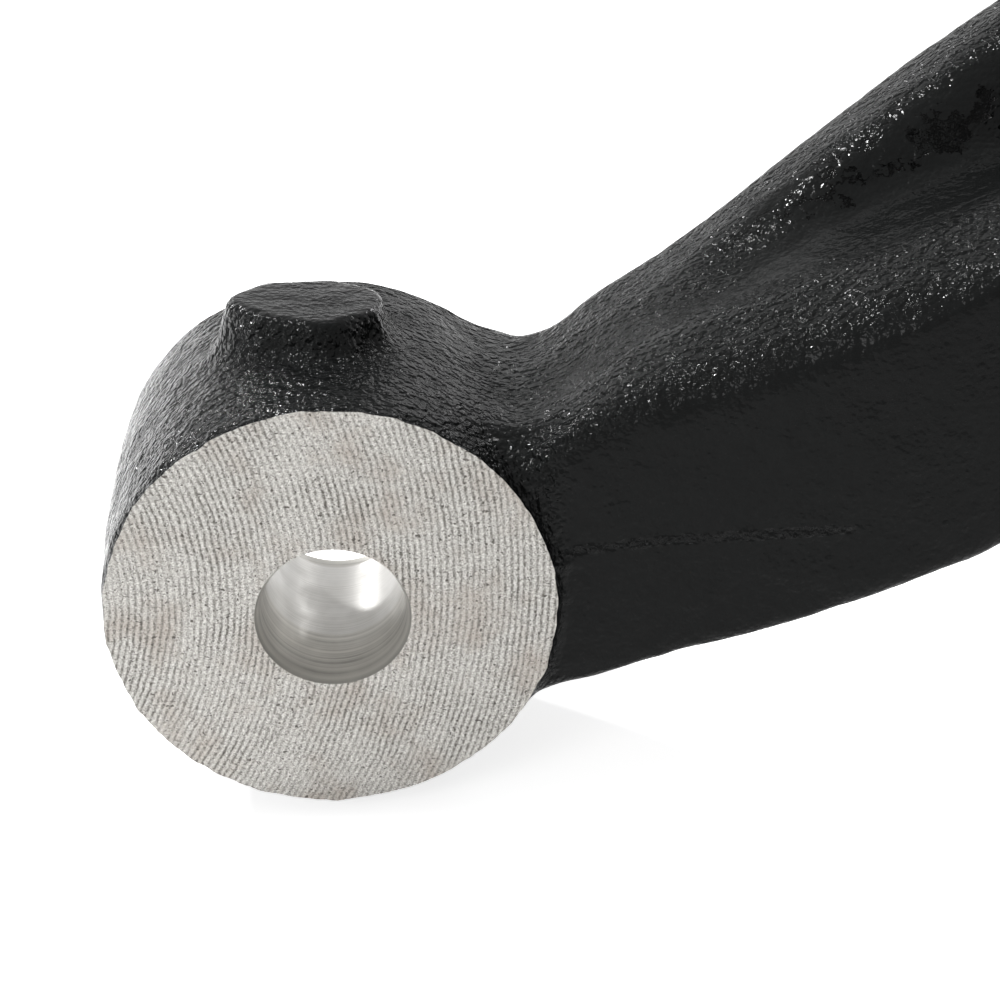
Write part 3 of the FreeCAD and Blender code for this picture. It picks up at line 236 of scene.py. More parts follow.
def skin_over(field, xs, ys, zs):
    """A closed quad skin where a field is 0.

    It has one point in each cell that the field crosses, at the mean of the cell's edge crossings, and a
    quad across each grid edge whose ends differ in sign.
    """
    value = field(xs[:, None, None], ys[None, :, None], zs[None, None, :]).astype(np.float32)
    inside = value < 0.0
    shape = np.array(inside.shape) - 1
    total = np.zeros((*shape, 3), np.float32)
    count = np.zeros(shape, np.int8)
    grids = (xs, ys, zs)
    crossings = []
    for axis in range(3):
        low = [slice(None)] * 3
        high = [slice(None)] * 3
        low[axis] = slice(0, -1)
        high[axis] = slice(1, None)
        a, b = value[tuple(low)], value[tuple(high)]
        ids = np.argwhere(inside[tuple(low)] != inside[tuple(high)])
        va, vb = a[tuple(ids.T)], b[tuple(ids.T)]
        spot = np.stack([grids[k][ids[:, k]] for k in range(3)], 1)
        gap = grids[axis][ids[:, axis] + 1] - grids[axis][ids[:, axis]]
        spot[:, axis] += gap * va / (va - vb)
        others = [k for k in range(3) if k != axis]
        for da in (0, 1):
            for db in (0, 1):
                cell = ids.copy()
                cell[:, others[0]] -= da
                cell[:, others[1]] -= db
                ok = ((cell >= 0) & (cell < shape)).all(1)
                flat = np.ravel_multi_index(tuple(cell[ok].T), tuple(shape))
                np.add.at(total.reshape(-1, 3), flat, spot[ok])
                np.add.at(count.reshape(-1), flat, 1)
        crossings.append((axis, ids, va < 0.0))
    used = np.flatnonzero(count.reshape(-1))
    number = np.full(count.size, -1, np.int64)
    number[used] = np.arange(len(used))
    points = total.reshape(-1, 3)[used] / count.reshape(-1)[used][:, None]
    quads = []
    for axis, ids, leaving in crossings:
        others = [(axis + 1) % 3, (axis + 2) % 3]
        ring = []
        for da, db in ((1, 1), (0, 1), (0, 0), (1, 0)):
            cell = ids.copy()
            cell[:, others[0]] -= da
            cell[:, others[1]] -= db
            ring.append(number[np.ravel_multi_index(tuple(cell.T), tuple(shape))])
        ring = np.stack(ring, 1)
        ring[~leaving] = ring[~leaving][:, ::-1]
        quads.append(ring)
    return points.astype(np.float64), np.concatenate(quads)


def field_slope(field, p, step=0.05):
    """Central differences of a field at points: unit vectors, and the rate of change along them."""
    slope = np.empty_like(p)
    for axis in range(3):
        shift = np.zeros(3)
        shift[axis] = step
        ahead, behind = p + shift, p - shift
        slope[:, axis] = field(*ahead.T) - field(*behind.T)
    return slope / np.linalg.norm(slope, axis=1, keepdims=True), np.linalg.norm(slope, axis=1) / (2.0 * step)


def mesh_of(name, points, faces, smooth=True):
    """A new object from points in mm and faces; the object stays at the origin and its mesh is in metres."""
    mesh = bpy.data.meshes.new(name)
    face_list = faces.tolist() if isinstance(faces, np.ndarray) else faces
    mesh.from_pydata((np.asarray(points) / 1000.0).tolist(), [], face_list)
    mesh.validate()
    mesh.polygons.foreach_set("use_smooth", np.full(len(mesh.polygons), smooth))
    piece = bpy.data.objects.new(name, mesh)
    bpy.context.scene.collection.objects.link(piece)
    return piece


def near_to(spot, reach):
    """1 at a spot, falling off as a bell of the given reach in mm."""
    return np.exp(-(((points - spot) / reach) ** 2).sum(1))


# The skin's grid is finer round the boss and neck. Each point is then drawn twice towards the true surface.
CELL = 1.02
FAR_CELL = 2.8
SETTLE_PASSES = 2
xs = np.concatenate([np.arange(-47.0, 122.0, CELL), np.arange(122.5, 452.0, FAR_CELL)])
ys = np.arange(-38.0, 38.6, CELL)
zs = np.arange(-47.0, 156.0, CELL)
points, quads = skin_over(casting_field, xs, ys, zs)
for number in range(SETTLE_PASSES):
    slope, rate = field_slope(casting_field, points)
    points -= slope * (casting_field(*points.T) / np.maximum(rate, 0.3))[:, None].clip(-1.0, 1.0)
slope = field_slope(casting_field, points)[0]

# What the mould left: sand grain, a broken parting line, a ragged rim with a burr, and the stump's corners.
grain = 0.16 * speckle(points, 5.3, 1) + 0.13 * speckle(points, 2.6, 2)
parting = 12.8 + 0.172 * (points[:, 0] - 48.2) + 0.5 * speckle(points * [1, 0, 0], 6.0, 3)
seam = np.exp(-(((points[:, 2] - parting) / 0.9) ** 2)) * (np.abs(slope[:, 1]) > 0.6)
seam = seam * ease(42.0, 50.0, points[:, 0]) * (1.0 - ease(78.0, 92.0, points[:, 0]))
seam = seam * (0.5 + 0.5 * speckle(points, 1.9, 6))
rim = ease(22.0, 25.0, -points[:, 1]) * (points[:, 0] < 44.0)
rough_corner = 0.9 * speckle(points, 1.9, 5) * near_to((-13.0, -6.0, 42.0), 4.5)
sunk_corner = -1.5 * near_to((7.5, -5.0, 43.0), 2.6)
burr = 1.5 * near_to((39.6, -25.0, 9.4), 1.4)
ragged = 0.22 * rim * speckle(points, 1.5, 4)
points += slope * (grain + 0.16 * seam + ragged + rough_corner + sunk_corner + burr)[:, None]
casting = mesh_of("arm_casting_skin", points, quads)


def ring_faces(rows, sides):
    """Quads between the rings of a grid of rows by sides points, and a flat cap on each end."""
    ring, side = np.meshgrid(np.arange(rows - 1), np.arange(sides), indexing="ij")
    first = (ring * sides + side).ravel()
    second = (ring * sides + (side + 1) % sides).ravel()
    faces = np.stack([first, second, second + sides, first + sides], 1).tolist()
    faces.append(list(range(sides))[::-1])
    faces.append(list(range((rows - 1) * sides, rows * sides)))
    return faces


def cutter(profile, place, turned, sides=96):
    """A closed turned solid: a profile of (along, radius) points carried round an axis, in mm."""
    along, radius = np.array(profile, float).T
    around = np.linspace(0.0, 2.0 * math.pi, sides, endpoint=False)
    spots = np.stack(np.broadcast_arrays(
        radius[:, None] * np.cos(around), radius[:, None] * np.sin(around), along[:, None]), -1)
    return spots.reshape(-1, 3) @ np.array(turned).T + np.array(place), ring_faces(len(along), sides)


def block(low, high):
    """A closed box between two corners, in mm."""
    grid = np.meshgrid(*zip(low, high), indexing="ij")
    faces = [[0, 1, 3, 2], [4, 6, 7, 5], [0, 4, 5, 1], [2, 3, 7, 6], [0, 2, 6, 4], [1, 5, 7, 3]]
    return np.stack(grid, -1).reshape(-1, 3), faces


def cut_away(piece, cutters):
    """Machines a casting: takes closed solids from it, and each cut face keeps its tool's metal."""
    for number, (spots, faces, metal) in enumerate(cutters):
        tool = mesh_of(f"tool_{number}", spots, faces, smooth=False)
        tool.data.materials.append(metal)
        cut = piece.modifiers.new(f"cut_{number}", "BOOLEAN")
        cut.operation = "DIFFERENCE"
        cut.object = tool
        cut.solver = "EXACT"
        cut.material_mode = "TRANSFER"
    bpy.context.view_layer.update()
    done = bpy.data.meshes.new_from_object(piece.evaluated_get(bpy.context.evaluated_depsgraph_get()))
    piece.modifiers.clear()
    old = piece.data
    piece.data = done
    bpy.data.meshes.remove(old)
    for number in range(len(cutters)):
        bpy.data.objects.remove(bpy.data.objects[f"tool_{number}"])


def new_finish(name):
    """A new material with its nodes, its links and its Principled shader."""
    material = bpy.data.materials.new(name)
    material.use_nodes = True
    tree = material.node_tree
    return material, tree.nodes, tree.links, tree.nodes["Principled BSDF"]


def sums(nodes, links, kind, a, b, clamp=False):
    """A Math node; a and b are sockets or numbers."""
    node = nodes.new("ShaderNodeMath")
    node.operation = kind
    node.use_clamp = clamp
    for socket, given in zip(node.inputs, (a, b)):
        if isinstance(given, (int, float)):
            socket.default_value = given
        else:
            links.new(given, socket)
    return node.outputs[0]


def clouds(nodes, links, place, scale, detail=3.0, rough=0.6):
    """Noise read at object coordinates; scale is cells per metre."""
    node = nodes.new("ShaderNodeTexNoise")
    node.inputs["Scale"].default_value = scale
    node.inputs["Detail"].default_value = detail
    node.inputs["Roughness"].default_value = rough
    links.new(place, node.inputs["Vector"])
    return node.outputs["Fac"]


def band(nodes, links, value, low, high, to_low=0.0, to_high=1.0):
    """A value stretched from one range to another, and held at its ends."""
    node = nodes.new("ShaderNodeMapRange")
    links.new(value, node.inputs["Value"])
    for name, number in (("From Min", low), ("From Max", high), ("To Min", to_low), ("To Max", to_high)):
        node.inputs[name].default_value = number
    return node.outputs["Result"]


def tinted(nodes, links, amount, first, second):
    """A colour between two, by a 0 to 1 value."""
    node = nodes.new("ShaderNodeMix")
    node.data_type = "RGBA"
    links.new(amount, node.inputs["Factor"])
    for socket, given in ((node.inputs[6], first), (node.inputs[7], second)):
        if isinstance(given, tuple):
            socket.default_value = (*given, 1.0)
        else:
            links.new(given, socket)
    return node.outputs[2]


def relief(nodes, links, height, depth, shader, strength=1.0):
    """Bump on the shader's normal: height 0 to 1 stands for depth in metres."""
    node = nodes.new("ShaderNodeBump")
    node.inputs["Strength"].default_value = strength
    node.inputs["Distance"].default_value = depth
    links.new(height, node.inputs["Height"])
    links.new(node.outputs["Normal"], shader.inputs["Normal"])
    return node


def object_place(nodes):
    """The object coordinates, which stay fixed on each piece."""
    return nodes.new("ShaderNodeTexCoord").outputs["Object"]


def enamel_on_casting():
    """Black enamel over sand-cast iron: millimetre sand grains under it, a finer peel, and valley cracks.

    The relief is sand grains plus two sizes of cloud, times a calm value: the flank below the ridge's edge,
    the stump's top and the channel's valley are calmer, and the parting line on the near flank is rougher.
    The valley's cracks are dents, and their darker colour is painted shade inside them.
    """
    material, nodes, links, shader = new_finish("cast_enamel")
    place = object_place(nodes)
    axes = nodes.new("ShaderNodeSeparateXYZ")
    links.new(place, axes.inputs[0])
    grains = nodes.new("ShaderNodeTexVoronoi")
    grains.inputs["Scale"].default_value = 900.0
    links.new(place, grains.inputs["Vector"])
    coarse = clouds(nodes, links, place, 620.0, 1.6, 0.55)
    fine = clouds(nodes, links, place, 1900.0, 0.0, 0.5)
    patches = band(nodes, links, clouds(nodes, links, place, 80.0, 1.0), 0.38, 0.62, 0.55, 1.0)
    x, y, z = (axes.outputs[axis] for axis in "XYZ")
    edge_z = sums(nodes, links, "ADD", sums(nodes, links, "MULTIPLY", x, 0.543), 0.0095)
    over_edge = sums(nodes, links, "SUBTRACT", z, edge_z)
    ridge = band(nodes, links, over_edge, -0.003, 0.002, 0.22, 1.0)
    inboard = band(nodes, links, y, -0.0235, -0.0215)
    past_face = band(nodes, links, x, 0.036, 0.042, 1.0, 0.0)
    calm = sums(nodes, links, "MAXIMUM", ridge, sums(nodes, links, "MAXIMUM", inboard, past_face))
    stump_top = band(nodes, links, z, 0.0452, 0.0460, 1.0, 0.35)
    off_boss = band(nodes, links, x, 0.018, 0.03)
    calm = sums(nodes, links, "MULTIPLY", calm, sums(nodes, links, "MAXIMUM", stump_top, off_boss))
    far_side = band(nodes, links, y, 0.014, 0.018, 1.0, 0.0)
    near_side = band(nodes, links, y, -0.013, -0.007)
    valley = sums(nodes, links, "MULTIPLY", far_side, near_side)
    valley = sums(nodes, links, "MULTIPLY", valley, band(nodes, links, x, 0.060, 0.072))
    calm = sums(nodes, links, "MULTIPLY", calm, band(nodes, links, valley, 0.0, 1.0, 1.0, 0.32))
    seam_z = sums(nodes, links, "ADD", sums(nodes, links, "MULTIPLY", x, 0.172), 0.0045)
    off_seam = sums(nodes, links, "ABSOLUTE", sums(nodes, links, "SUBTRACT", z, seam_z), 0.0)
    seam_end = band(nodes, links, x, 0.078, 0.092, 1.0, 0.0)
    seam_side = band(nodes, links, y, -0.022, -0.020, 1.0, 0.0)
    seam = sums(nodes, links, "MULTIPLY", band(nodes, links, off_seam, 0.0005, 0.0013, 1.3, 0.0), seam_end)
    seam = sums(nodes, links, "MULTIPLY", seam, seam_side)
    calm = sums(nodes, links, "MAXIMUM", calm, seam)
    height = sums(nodes, links, "MULTIPLY", grains.outputs["Distance"], -0.6)
    height = sums(nodes, links, "ADD", height, sums(nodes, links, "MULTIPLY", coarse, 1.6))
    height = sums(nodes, links, "ADD", height, sums(nodes, links, "MULTIPLY", fine, 0.35))
    height = sums(nodes, links, "SUBTRACT", height, 0.675)
    height = sums(nodes, links, "MULTIPLY", height, sums(nodes, links, "MULTIPLY", patches, calm))
    wander = sums(nodes, links, "SUBTRACT", clouds(nodes, links, place, 210.0, 5.0, 0.7), 0.5)
    wandered = sums(nodes, links, "ADD", y, sums(nodes, links, "MULTIPLY", wander, 0.022))
    straight = sums(nodes, links, "ABSOLUTE", sums(nodes, links, "SUBTRACT", wandered, 0.0088), 0.0)
    slanted_y = sums(nodes, links, "ADD", sums(nodes, links, "MULTIPLY", x, -0.142), 0.0255)
    slanted = sums(nodes, links, "ABSOLUTE", sums(nodes, links, "SUBTRACT", wandered, slanted_y), 0.0)
    line = sums(nodes, links, "MINIMUM", straight, slanted)
    opened = band(nodes, links, line, 0.00018, 0.00060, 1.0, 0.0)
    broken = band(nodes, links, clouds(nodes, links, place, 150.0, 1.0), 0.44, 0.52, 0.0, 1.0)
    crack_and_shade = sums(nodes, links, "MULTIPLY", sums(nodes, links, "MULTIPLY", opened, broken), valley)
    height = sums(nodes, links, "SUBTRACT", height, sums(nodes, links, "MULTIPLY", crack_and_shade, 1.6))
    relief(nodes, links, height, 0.00085, shader, 1.0)
    colour = tinted(nodes, links, coarse, (0.0040, 0.0043, 0.0043), (0.0075, 0.0080, 0.0080))
    # Painted shade: the cracks are dented above, and their darker colour stands for the shade inside them.
    links.new(tinted(nodes, links, crack_and_shade, colour, (0.001, 0.001, 0.001)), shader.inputs["Base Color"])
    links.new(band(nodes, links, fine, 0.3, 0.7, 0.09, 0.20), shader.inputs["Roughness"])
    shader.inputs["Specular IOR Level"].default_value = 0.08
    return material


def faced_iron():
    """Rough-faced grey iron: the arcs of a large facing cutter, small dark pores, and brown tints.

    The arcs are a sine of the distance from the cutter's hub, which lies beside the boss. The grooves
    between the arcs and the pores are dents, and their darker colour is painted shade inside them.
    """
    material, nodes, links, shader = new_finish("faced_iron")
    place = object_place(nodes)
    axes = nodes.new("ShaderNodeSeparateXYZ")
    links.new(place, axes.inputs[0])
    from_hub_x = sums(nodes, links, "ADD", axes.outputs["X"], 0.082)
    from_hub_z = sums(nodes, links, "SUBTRACT", axes.outputs["Z"], 0.004)
    square_x = sums(nodes, links, "MULTIPLY", from_hub_x, from_hub_x)
    square_z = sums(nodes, links, "MULTIPLY", from_hub_z, from_hub_z)
    radius = sums(nodes, links, "SQRT", sums(nodes, links, "ADD", square_x, square_z), 0.0)
    drift = sums(nodes, links, "MULTIPLY", clouds(nodes, links, place, 170.0, 2.0), 0.0011)
    phase = sums(nodes, links, "MULTIPLY", sums(nodes, links, "ADD", radius, drift), 2.0 * math.pi / 0.00108)
    ridge = band(nodes, links, sums(nodes, links, "SINE", phase, 0.0), -0.4, 1.0)
    rag = clouds(nodes, links, place, 1500.0, 3.0, 0.7)
    strength = band(nodes, links, clouds(nodes, links, place, 75.0, 2.0), 0.36, 0.62, 0.45, 1.0)
    groove_and_shade = sums(nodes, links, "MULTIPLY", ridge, strength)
    groove_and_shade = sums(nodes, links, "MULTIPLY", groove_and_shade, band(nodes, links, rag, 0.36, 0.56, 0.1, 1.0))
    crumbs = clouds(nodes, links, place, 3200.0, 2.0, 0.7)
    pores = band(nodes, links, clouds(nodes, links, place, 2300.0, 1.0, 0.5), 0.33, 0.38, 0.55, 0.0)
    specks = band(nodes, links, clouds(nodes, links, place, 1300.0, 1.0, 0.5), 0.27, 0.31, 0.9, 0.0)
    dark = sums(nodes, links, "MAXIMUM", pores, specks)
    brown = band(nodes, links, clouds(nodes, links, place, 95.0, 3.0, 0.6), 0.48, 0.70, 0.0, 0.55)
    shade = band(nodes, links, crumbs, 0.32, 0.68)
    colour = tinted(nodes, links, shade, (0.34, 0.325, 0.30), (0.78, 0.765, 0.73))
    colour = tinted(nodes, links, brown, colour, (0.40, 0.34, 0.29))
    # Painted shade: the cutter's grooves, dented by the relief below, are also darkened in colour.
    colour = tinted(nodes, links, groove_and_shade, colour, (0.12, 0.11, 0.095))
    # Painted shade, in part: the pores and specks are real pits, and their near-black colour stands for the
    # shade inside them.
    links.new(tinted(nodes, links, dark, colour, (0.07, 0.06, 0.05)), shader.inputs["Base Color"])
    shader.inputs["Metallic"].default_value = 0.25
    links.new(band(nodes, links, rag, 0.3, 0.7, 0.42, 0.62), shader.inputs["Roughness"])
    height = sums(nodes, links, "SUBTRACT", sums(nodes, links, "MULTIPLY", groove_and_shade, -0.6), dark)
    relief(nodes, links, height, 0.00010, shader, 0.9)
    return material


def turned_metal(name, colour, rough, pitch, streak, metallic=1.0):
    """Turned or bored metal: fine rings round the Y axis, a tool's feed apart, whose depth drifts slowly."""
    material, nodes, links, shader = new_finish(name)
    place = object_place(nodes)
    axes = nodes.new("ShaderNodeSeparateXYZ")
    links.new(place, axes.inputs[0])
    ring = nodes.new("ShaderNodeTexNoise")
    ring.noise_dimensions = "1D"
    ring.inputs["Scale"].default_value = 1.0 / pitch
    ring.inputs["Detail"].default_value = 4.0
    links.new(axes.outputs["Y"], ring.inputs["W"])
    cloud = clouds(nodes, links, place, 120.0, 3.0)
    rings = band(nodes, links, ring.outputs["Fac"], 0.35, 0.65)
    depth = sums(nodes, links, "MULTIPLY", rings, band(nodes, links, cloud, 0.3, 0.7, 0.4, 1.0))
    darker = tuple(part * 0.55 for part in colour)
    amount = sums(nodes, links, "MULTIPLY", depth, streak)
    links.new(tinted(nodes, links, amount, colour, darker), shader.inputs["Base Color"])
    shader.inputs["Metallic"].default_value = metallic
    links.new(band(nodes, links, cloud, 0.3, 0.7, rough * 0.8, rough * 1.3), shader.inputs["Roughness"])
    relief(nodes, links, depth, 0.00002, shader, 0.5)
    return material


paint = enamel_on_casting()
bare = faced_iron()
bored = turned_metal("bored_iron", (0.56, 0.545, 0.51), 0.36, 0.0011, 0.9, 0.5)

casting.data.materials.append(paint)
# The cuts, each a profile of (along, radius) from its tool's own start: the boss's faces and stepped bore,
# the trunnion's and pin's bores and their spot faces, the stop's, bumper's and eye's holes, and the window
# that the ram's rod passes through.
CUT_PAST = 60.0
FACE_END_X = 44.0
PAD_FACE_Y = 35.0
along_y = Matrix.Rotation(math.radians(-90.0), 3, "X")
across_bridge = Matrix.Rotation(BRIDGE_TURN + math.radians(90.0), 3, "Y")
up_bumper = Matrix.Rotation(math.radians(13.0), 3, "Y")
boss_place = (0.0, 0.0, 0.0)
trunnion_place = (TRUNNION_X, 0.0, TRUNNION_Z)
pin_place = (PIN_X, 0.0, PIN_Z)
stop_place = (ARCH_X + 255.0 * math.sin(BRIDGE_TURN), 0.0, ARCH_Z + 255.0 * math.cos(BRIDGE_TURN))
mouth = [(-40.0, 13.3), (-26.0, 13.2), (-24.3, 12.5), (-11.0, 12.5)]
seat = [(-11.0, 16.0), (23.0, 16.0), (27.0, 20.0)]
tools = [
    (*block((-CUT_PAST, -CUT_PAST, -CUT_PAST), (FACE_END_X, -BOSS_HALF, CUT_PAST)), bare),
    (*block((-CUT_PAST, BOSS_HALF, -CUT_PAST), (FACE_END_X, CUT_PAST, CUT_PAST)), bare),
    (*cutter(mouth + seat, boss_place, along_y), bored),
    (*cutter([(-CUT_PAST, 22.0), (CUT_PAST, 22.0)], trunnion_place, along_y), bored),
    (*cutter([(-CUT_PAST, 9.1), (CUT_PAST, 9.1)], pin_place, along_y), bored),
]
for place, spot_r in ((trunnion_place, 32.0), (pin_place, 29.5)):
    tools.append((*cutter([(PAD_FACE_Y, spot_r), (CUT_PAST, spot_r)], place, along_y), bare))
    tools.append((*cutter([(-CUT_PAST, spot_r), (-PAD_FACE_Y, spot_r)], place, along_y), bare))
tools += [
    (*cutter([(-30.0, 5.0), (30.0, 5.0)], stop_place, across_bridge, 32), bored),
    (*cutter([(150.0, 16.0), (203.0, 16.0), (203.0, 4.15), (225.0, 4.15)],
             (ARCH_X, 0.0, ARCH_Z), up_bumper, 48), bored),
    (*cutter([(10.0, 4.0), (45.0, 4.0)], (185.0, 0.0, 99.0), along_y, 32), bored),
]
WINDOW_R, WINDOW_HALF_STRAIGHT = 13.0, 11.0
WINDOW_SIDES = 48
window = np.linspace(0.0, 2.0 * math.pi, WINDOW_SIDES, endpoint=False)
slot_x = TRUNNION_X + WINDOW_R * np.cos(window)
slot_x = slot_x + np.where(np.cos(window) > 0, WINDOW_HALF_STRAIGHT, -WINDOW_HALF_STRAIGHT)
slot_y = WINDOW_R * np.sin(window)
slot = np.stack(np.broadcast_arrays(slot_x, slot_y, np.array([[60.0], [108.0]])), -1).reshape(-1, 3)
tools.append((slot, ring_faces(2, WINDOW_SIDES), paint))
cut_away(casting, tools)
casting.data.set_sharp_from_angle(angle=math.radians(40.0))
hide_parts("arm_casting")
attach(casting, "arm")


def give(material, *names):
    """Gives CAD pieces, whose shapes stay, one finish."""
    for name in names:
        mesh = frame["nodes"][name].data
        mesh.materials.clear()
        mesh.materials.append(material)


# ---- The pivot bush: a plain steel bush, reamed to size and pressed into the boss from its far side against
# the shoulder of the bore. Its bore is smoother and brighter than the casting's own.
give(turned_metal("reamed_steel", (0.60, 0.59, 0.57), 0.42, 0.0004, 0.35, 0.7), "pivot_bush")


# ---- The trunnion: a ground cross shaft with two flats and a hole for the ram's rod. It turns in two bronze
# bushes pressed into the channel's walls, and a bronze thrust washer and a circlip hold it at each end.
bronze = turned_metal("turned_bronze", (0.50, 0.32, 0.13), 0.32, 0.0006, 0.6)
ground = turned_metal("ground_steel", (0.50, 0.50, 0.51), 0.24, 0.0003, 0.35)
give(bronze, "trunnion_bush_near", "trunnion_bush_far", "thrust_washers")
give(ground, "trunnion_shaft")


def oiled_spring_steel():
    """Blued spring steel under a film of oil: dark blue-brown clouds, and fine scratches along the wire."""
    material, nodes, links, shader = new_finish("oiled_spring_steel")
    place = object_place(nodes)
    cloud = clouds(nodes, links, place, 260.0, 3.0)
    scratch = clouds(nodes, links, place, 2600.0, 2.0, 0.7)
    blued = tinted(nodes, links, cloud, (0.035, 0.038, 0.050), (0.085, 0.070, 0.060))
    links.new(blued, shader.inputs["Base Color"])
    shader.inputs["Metallic"].default_value = 0.9
    links.new(band(nodes, links, scratch, 0.3, 0.7, 0.22, 0.42), shader.inputs["Roughness"])
    relief(nodes, links, scratch, 0.00003, shader, 0.5)
    return material


oiled = oiled_spring_steel()
give(oiled, "circlips")


# ---- The blade's pivot: a long shouldered bolt through the fork's ears with a washer under its head and its
# nut, all bright zinc plated, and two ground spacers that centre the carrier between the ears.
def zinc_plate():
    """Bright zinc plate on rolled steel: a faint blue and straw bloom, dull spots and a pickled grain."""
    material, nodes, links, shader = new_finish("zinc_plate")
    place = object_place(nodes)
    bloom = clouds(nodes, links, place, 150.0, 3.0)
    spots = clouds(nodes, links, place, 900.0, 2.0, 0.6)
    bloomed = band(nodes, links, bloom, 0.35, 0.65)
    colour = tinted(nodes, links, bloomed, (0.50, 0.53, 0.58), (0.60, 0.57, 0.49))
    dulled = band(nodes, links, spots, 0.52, 0.68, 0.0, 0.6)
    links.new(tinted(nodes, links, dulled, colour, (0.34, 0.34, 0.33)), shader.inputs["Base Color"])
    shader.inputs["Metallic"].default_value = 1.0
    links.new(band(nodes, links, spots, 0.3, 0.7, 0.2, 0.45), shader.inputs["Roughness"])
    relief(nodes, links, spots, 0.00004, shader, 0.6)
    return material


zinc = zinc_plate()
give(zinc, "pivot_bolt", "pivot_nut", "pivot_washers")
give(ground, "pivot_spacers")


# ---- The blade's carrier: a small iron casting in the arm's own enamel, with a bronze bush pressed into its
# hub. Its horn rests on the stop screw, and the blade bolts to its curved plate.
give(paint, "blade_carrier")
give(bronze, "carrier_bush")


# ---- The blade: 8 mm plate rolled to a quarter of a rim's curve, thinned to its lower edge and enamelled
# black. The paint is worn to bright steel where it meets the tyre.
def enamel_on_plate():
    """Smooth black enamel on rolled plate: a soft orange peel, rubbed patches, and a bare working edge."""
    material, nodes, links, shader = new_finish("plate_enamel")
    place = object_place(nodes)
    axes = nodes.new("ShaderNodeSeparateXYZ")
    links.new(place, axes.inputs[0])
    peel = clouds(nodes, links, place, 480.0, 2.0, 0.5)
    scuff = clouds(nodes, links, place, 130.0, 5.0, 0.7)
    ragged = sums(nodes, links, "ADD", axes.outputs["Z"], sums(nodes, links, "MULTIPLY", scuff, 0.016))
    worn = band(nodes, links, ragged, -0.0285, -0.0265, 1.0, 0.0)
    colour = tinted(nodes, links, worn, (0.007, 0.0072, 0.0078), (0.36, 0.35, 0.34))
    links.new(colour, shader.inputs["Base Color"])
    links.new(worn, shader.inputs["Metallic"])
    rubbed = band(nodes, links, scuff, 0.4, 0.7, 0.2, 0.45)
    links.new(rubbed, shader.inputs["Roughness"])
    shader.inputs["Specular IOR Level"].default_value = 0.3
    height = sums(nodes, links, "SUBTRACT", peel, sums(nodes, links, "MULTIPLY", worn, 0.5))
    relief(nodes, links, height, 0.00012, shader, 0.7)
    return material


plate_paint = enamel_on_plate()
give(plate_paint, "blade")
give(zinc, "blade_bolts", "blade_washers", "blade_nuts")


# ---- The blade's guard: a sheet of black nylon bent to the blade's hollow side and held by two screws, so
# that the blade can't mark an alloy wheel. It is scratched where rims have rubbed it.
def scuffed_nylon():
    """Black nylon sheet: a fine leathery grain, and long pale scratches that run round the blade."""
    material, nodes, links, shader = new_finish("scuffed_nylon")
    place = object_place(nodes)
    grain = clouds(nodes, links, place, 1400.0, 2.0, 0.6)
    stretched = nodes.new("ShaderNodeMapping")
    stretched.inputs["Scale"].default_value = (60.0, 60.0, 1600.0)
    links.new(place, stretched.inputs["Vector"])
    scratch = band(nodes, links, clouds(nodes, links, stretched.outputs[0], 1.0, 3.0, 0.7), 0.60, 0.68)
    colour = tinted(nodes, links, grain, (0.012, 0.012, 0.013), (0.022, 0.022, 0.023))
    links.new(tinted(nodes, links, scratch, colour, (0.07, 0.07, 0.07)), shader.inputs["Base Color"])
    links.new(band(nodes, links, grain, 0.3, 0.7, 0.45, 0.6), shader.inputs["Roughness"])
    height = sums(nodes, links, "SUBTRACT", grain, scratch)
    relief(nodes, links, height, 0.00006, shader, 0.7)
    return material


give(scuffed_nylon(), "blade_guard")
give(zinc, "guard_screws", "guard_nuts")


# ---- The blade's return spring and its stop: a torsion spring of oiled wire round the far spacer, and the
# zinc plated screw and lock nut in the channel's bridge that the carrier's horn rests on.
give(oiled, "return_spring")
give(zinc, "stop_screw", "stop_nut")


# ---- The handle: a bent steel bar welded to a flange, enamelled like the blade, and held to the near wall
# by two screws with washers.
give(plate_paint, "handle_bar")
give(zinc, "handle_screws", "handle_washers")


# ---- The handle's grip: a moulded black rubber sleeve with finger ribs and a closed, rounded end, pushed
# over the bar.
def black_rubber():
    """Moulded rubber: near black, a dusty bloom in patches, and a fine matt grain."""
    material, nodes, links, shader = new_finish("black_rubber")
    place = object_place(nodes)
    bloom = clouds(nodes, links, place, 90.0, 4.0, 0.6)
    grain = clouds(nodes, links, place, 1800.0, 2.0, 0.6)
    dusty = band(nodes, links, bloom, 0.45, 0.7)
    colour = tinted(nodes, links, dusty, (0.012, 0.012, 0.012), (0.028, 0.027, 0.026))
    links.new(colour, shader.inputs["Base Color"])
    links.new(band(nodes, links, grain, 0.3, 0.7, 0.55, 0.75), shader.inputs["Roughness"])
    relief(nodes, links, grain, 0.00008, shader, 0.7)
    return material


rubber = black_rubber()
grip_low, grip_high = (np.array(corner) * 1000.0 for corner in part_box("handle_grip"))
grip_middle = (grip_low + grip_high) / 2.0
GRIP_R = (grip_high[1] - grip_low[1]) / 2.0
GRIP_RIBS = 12


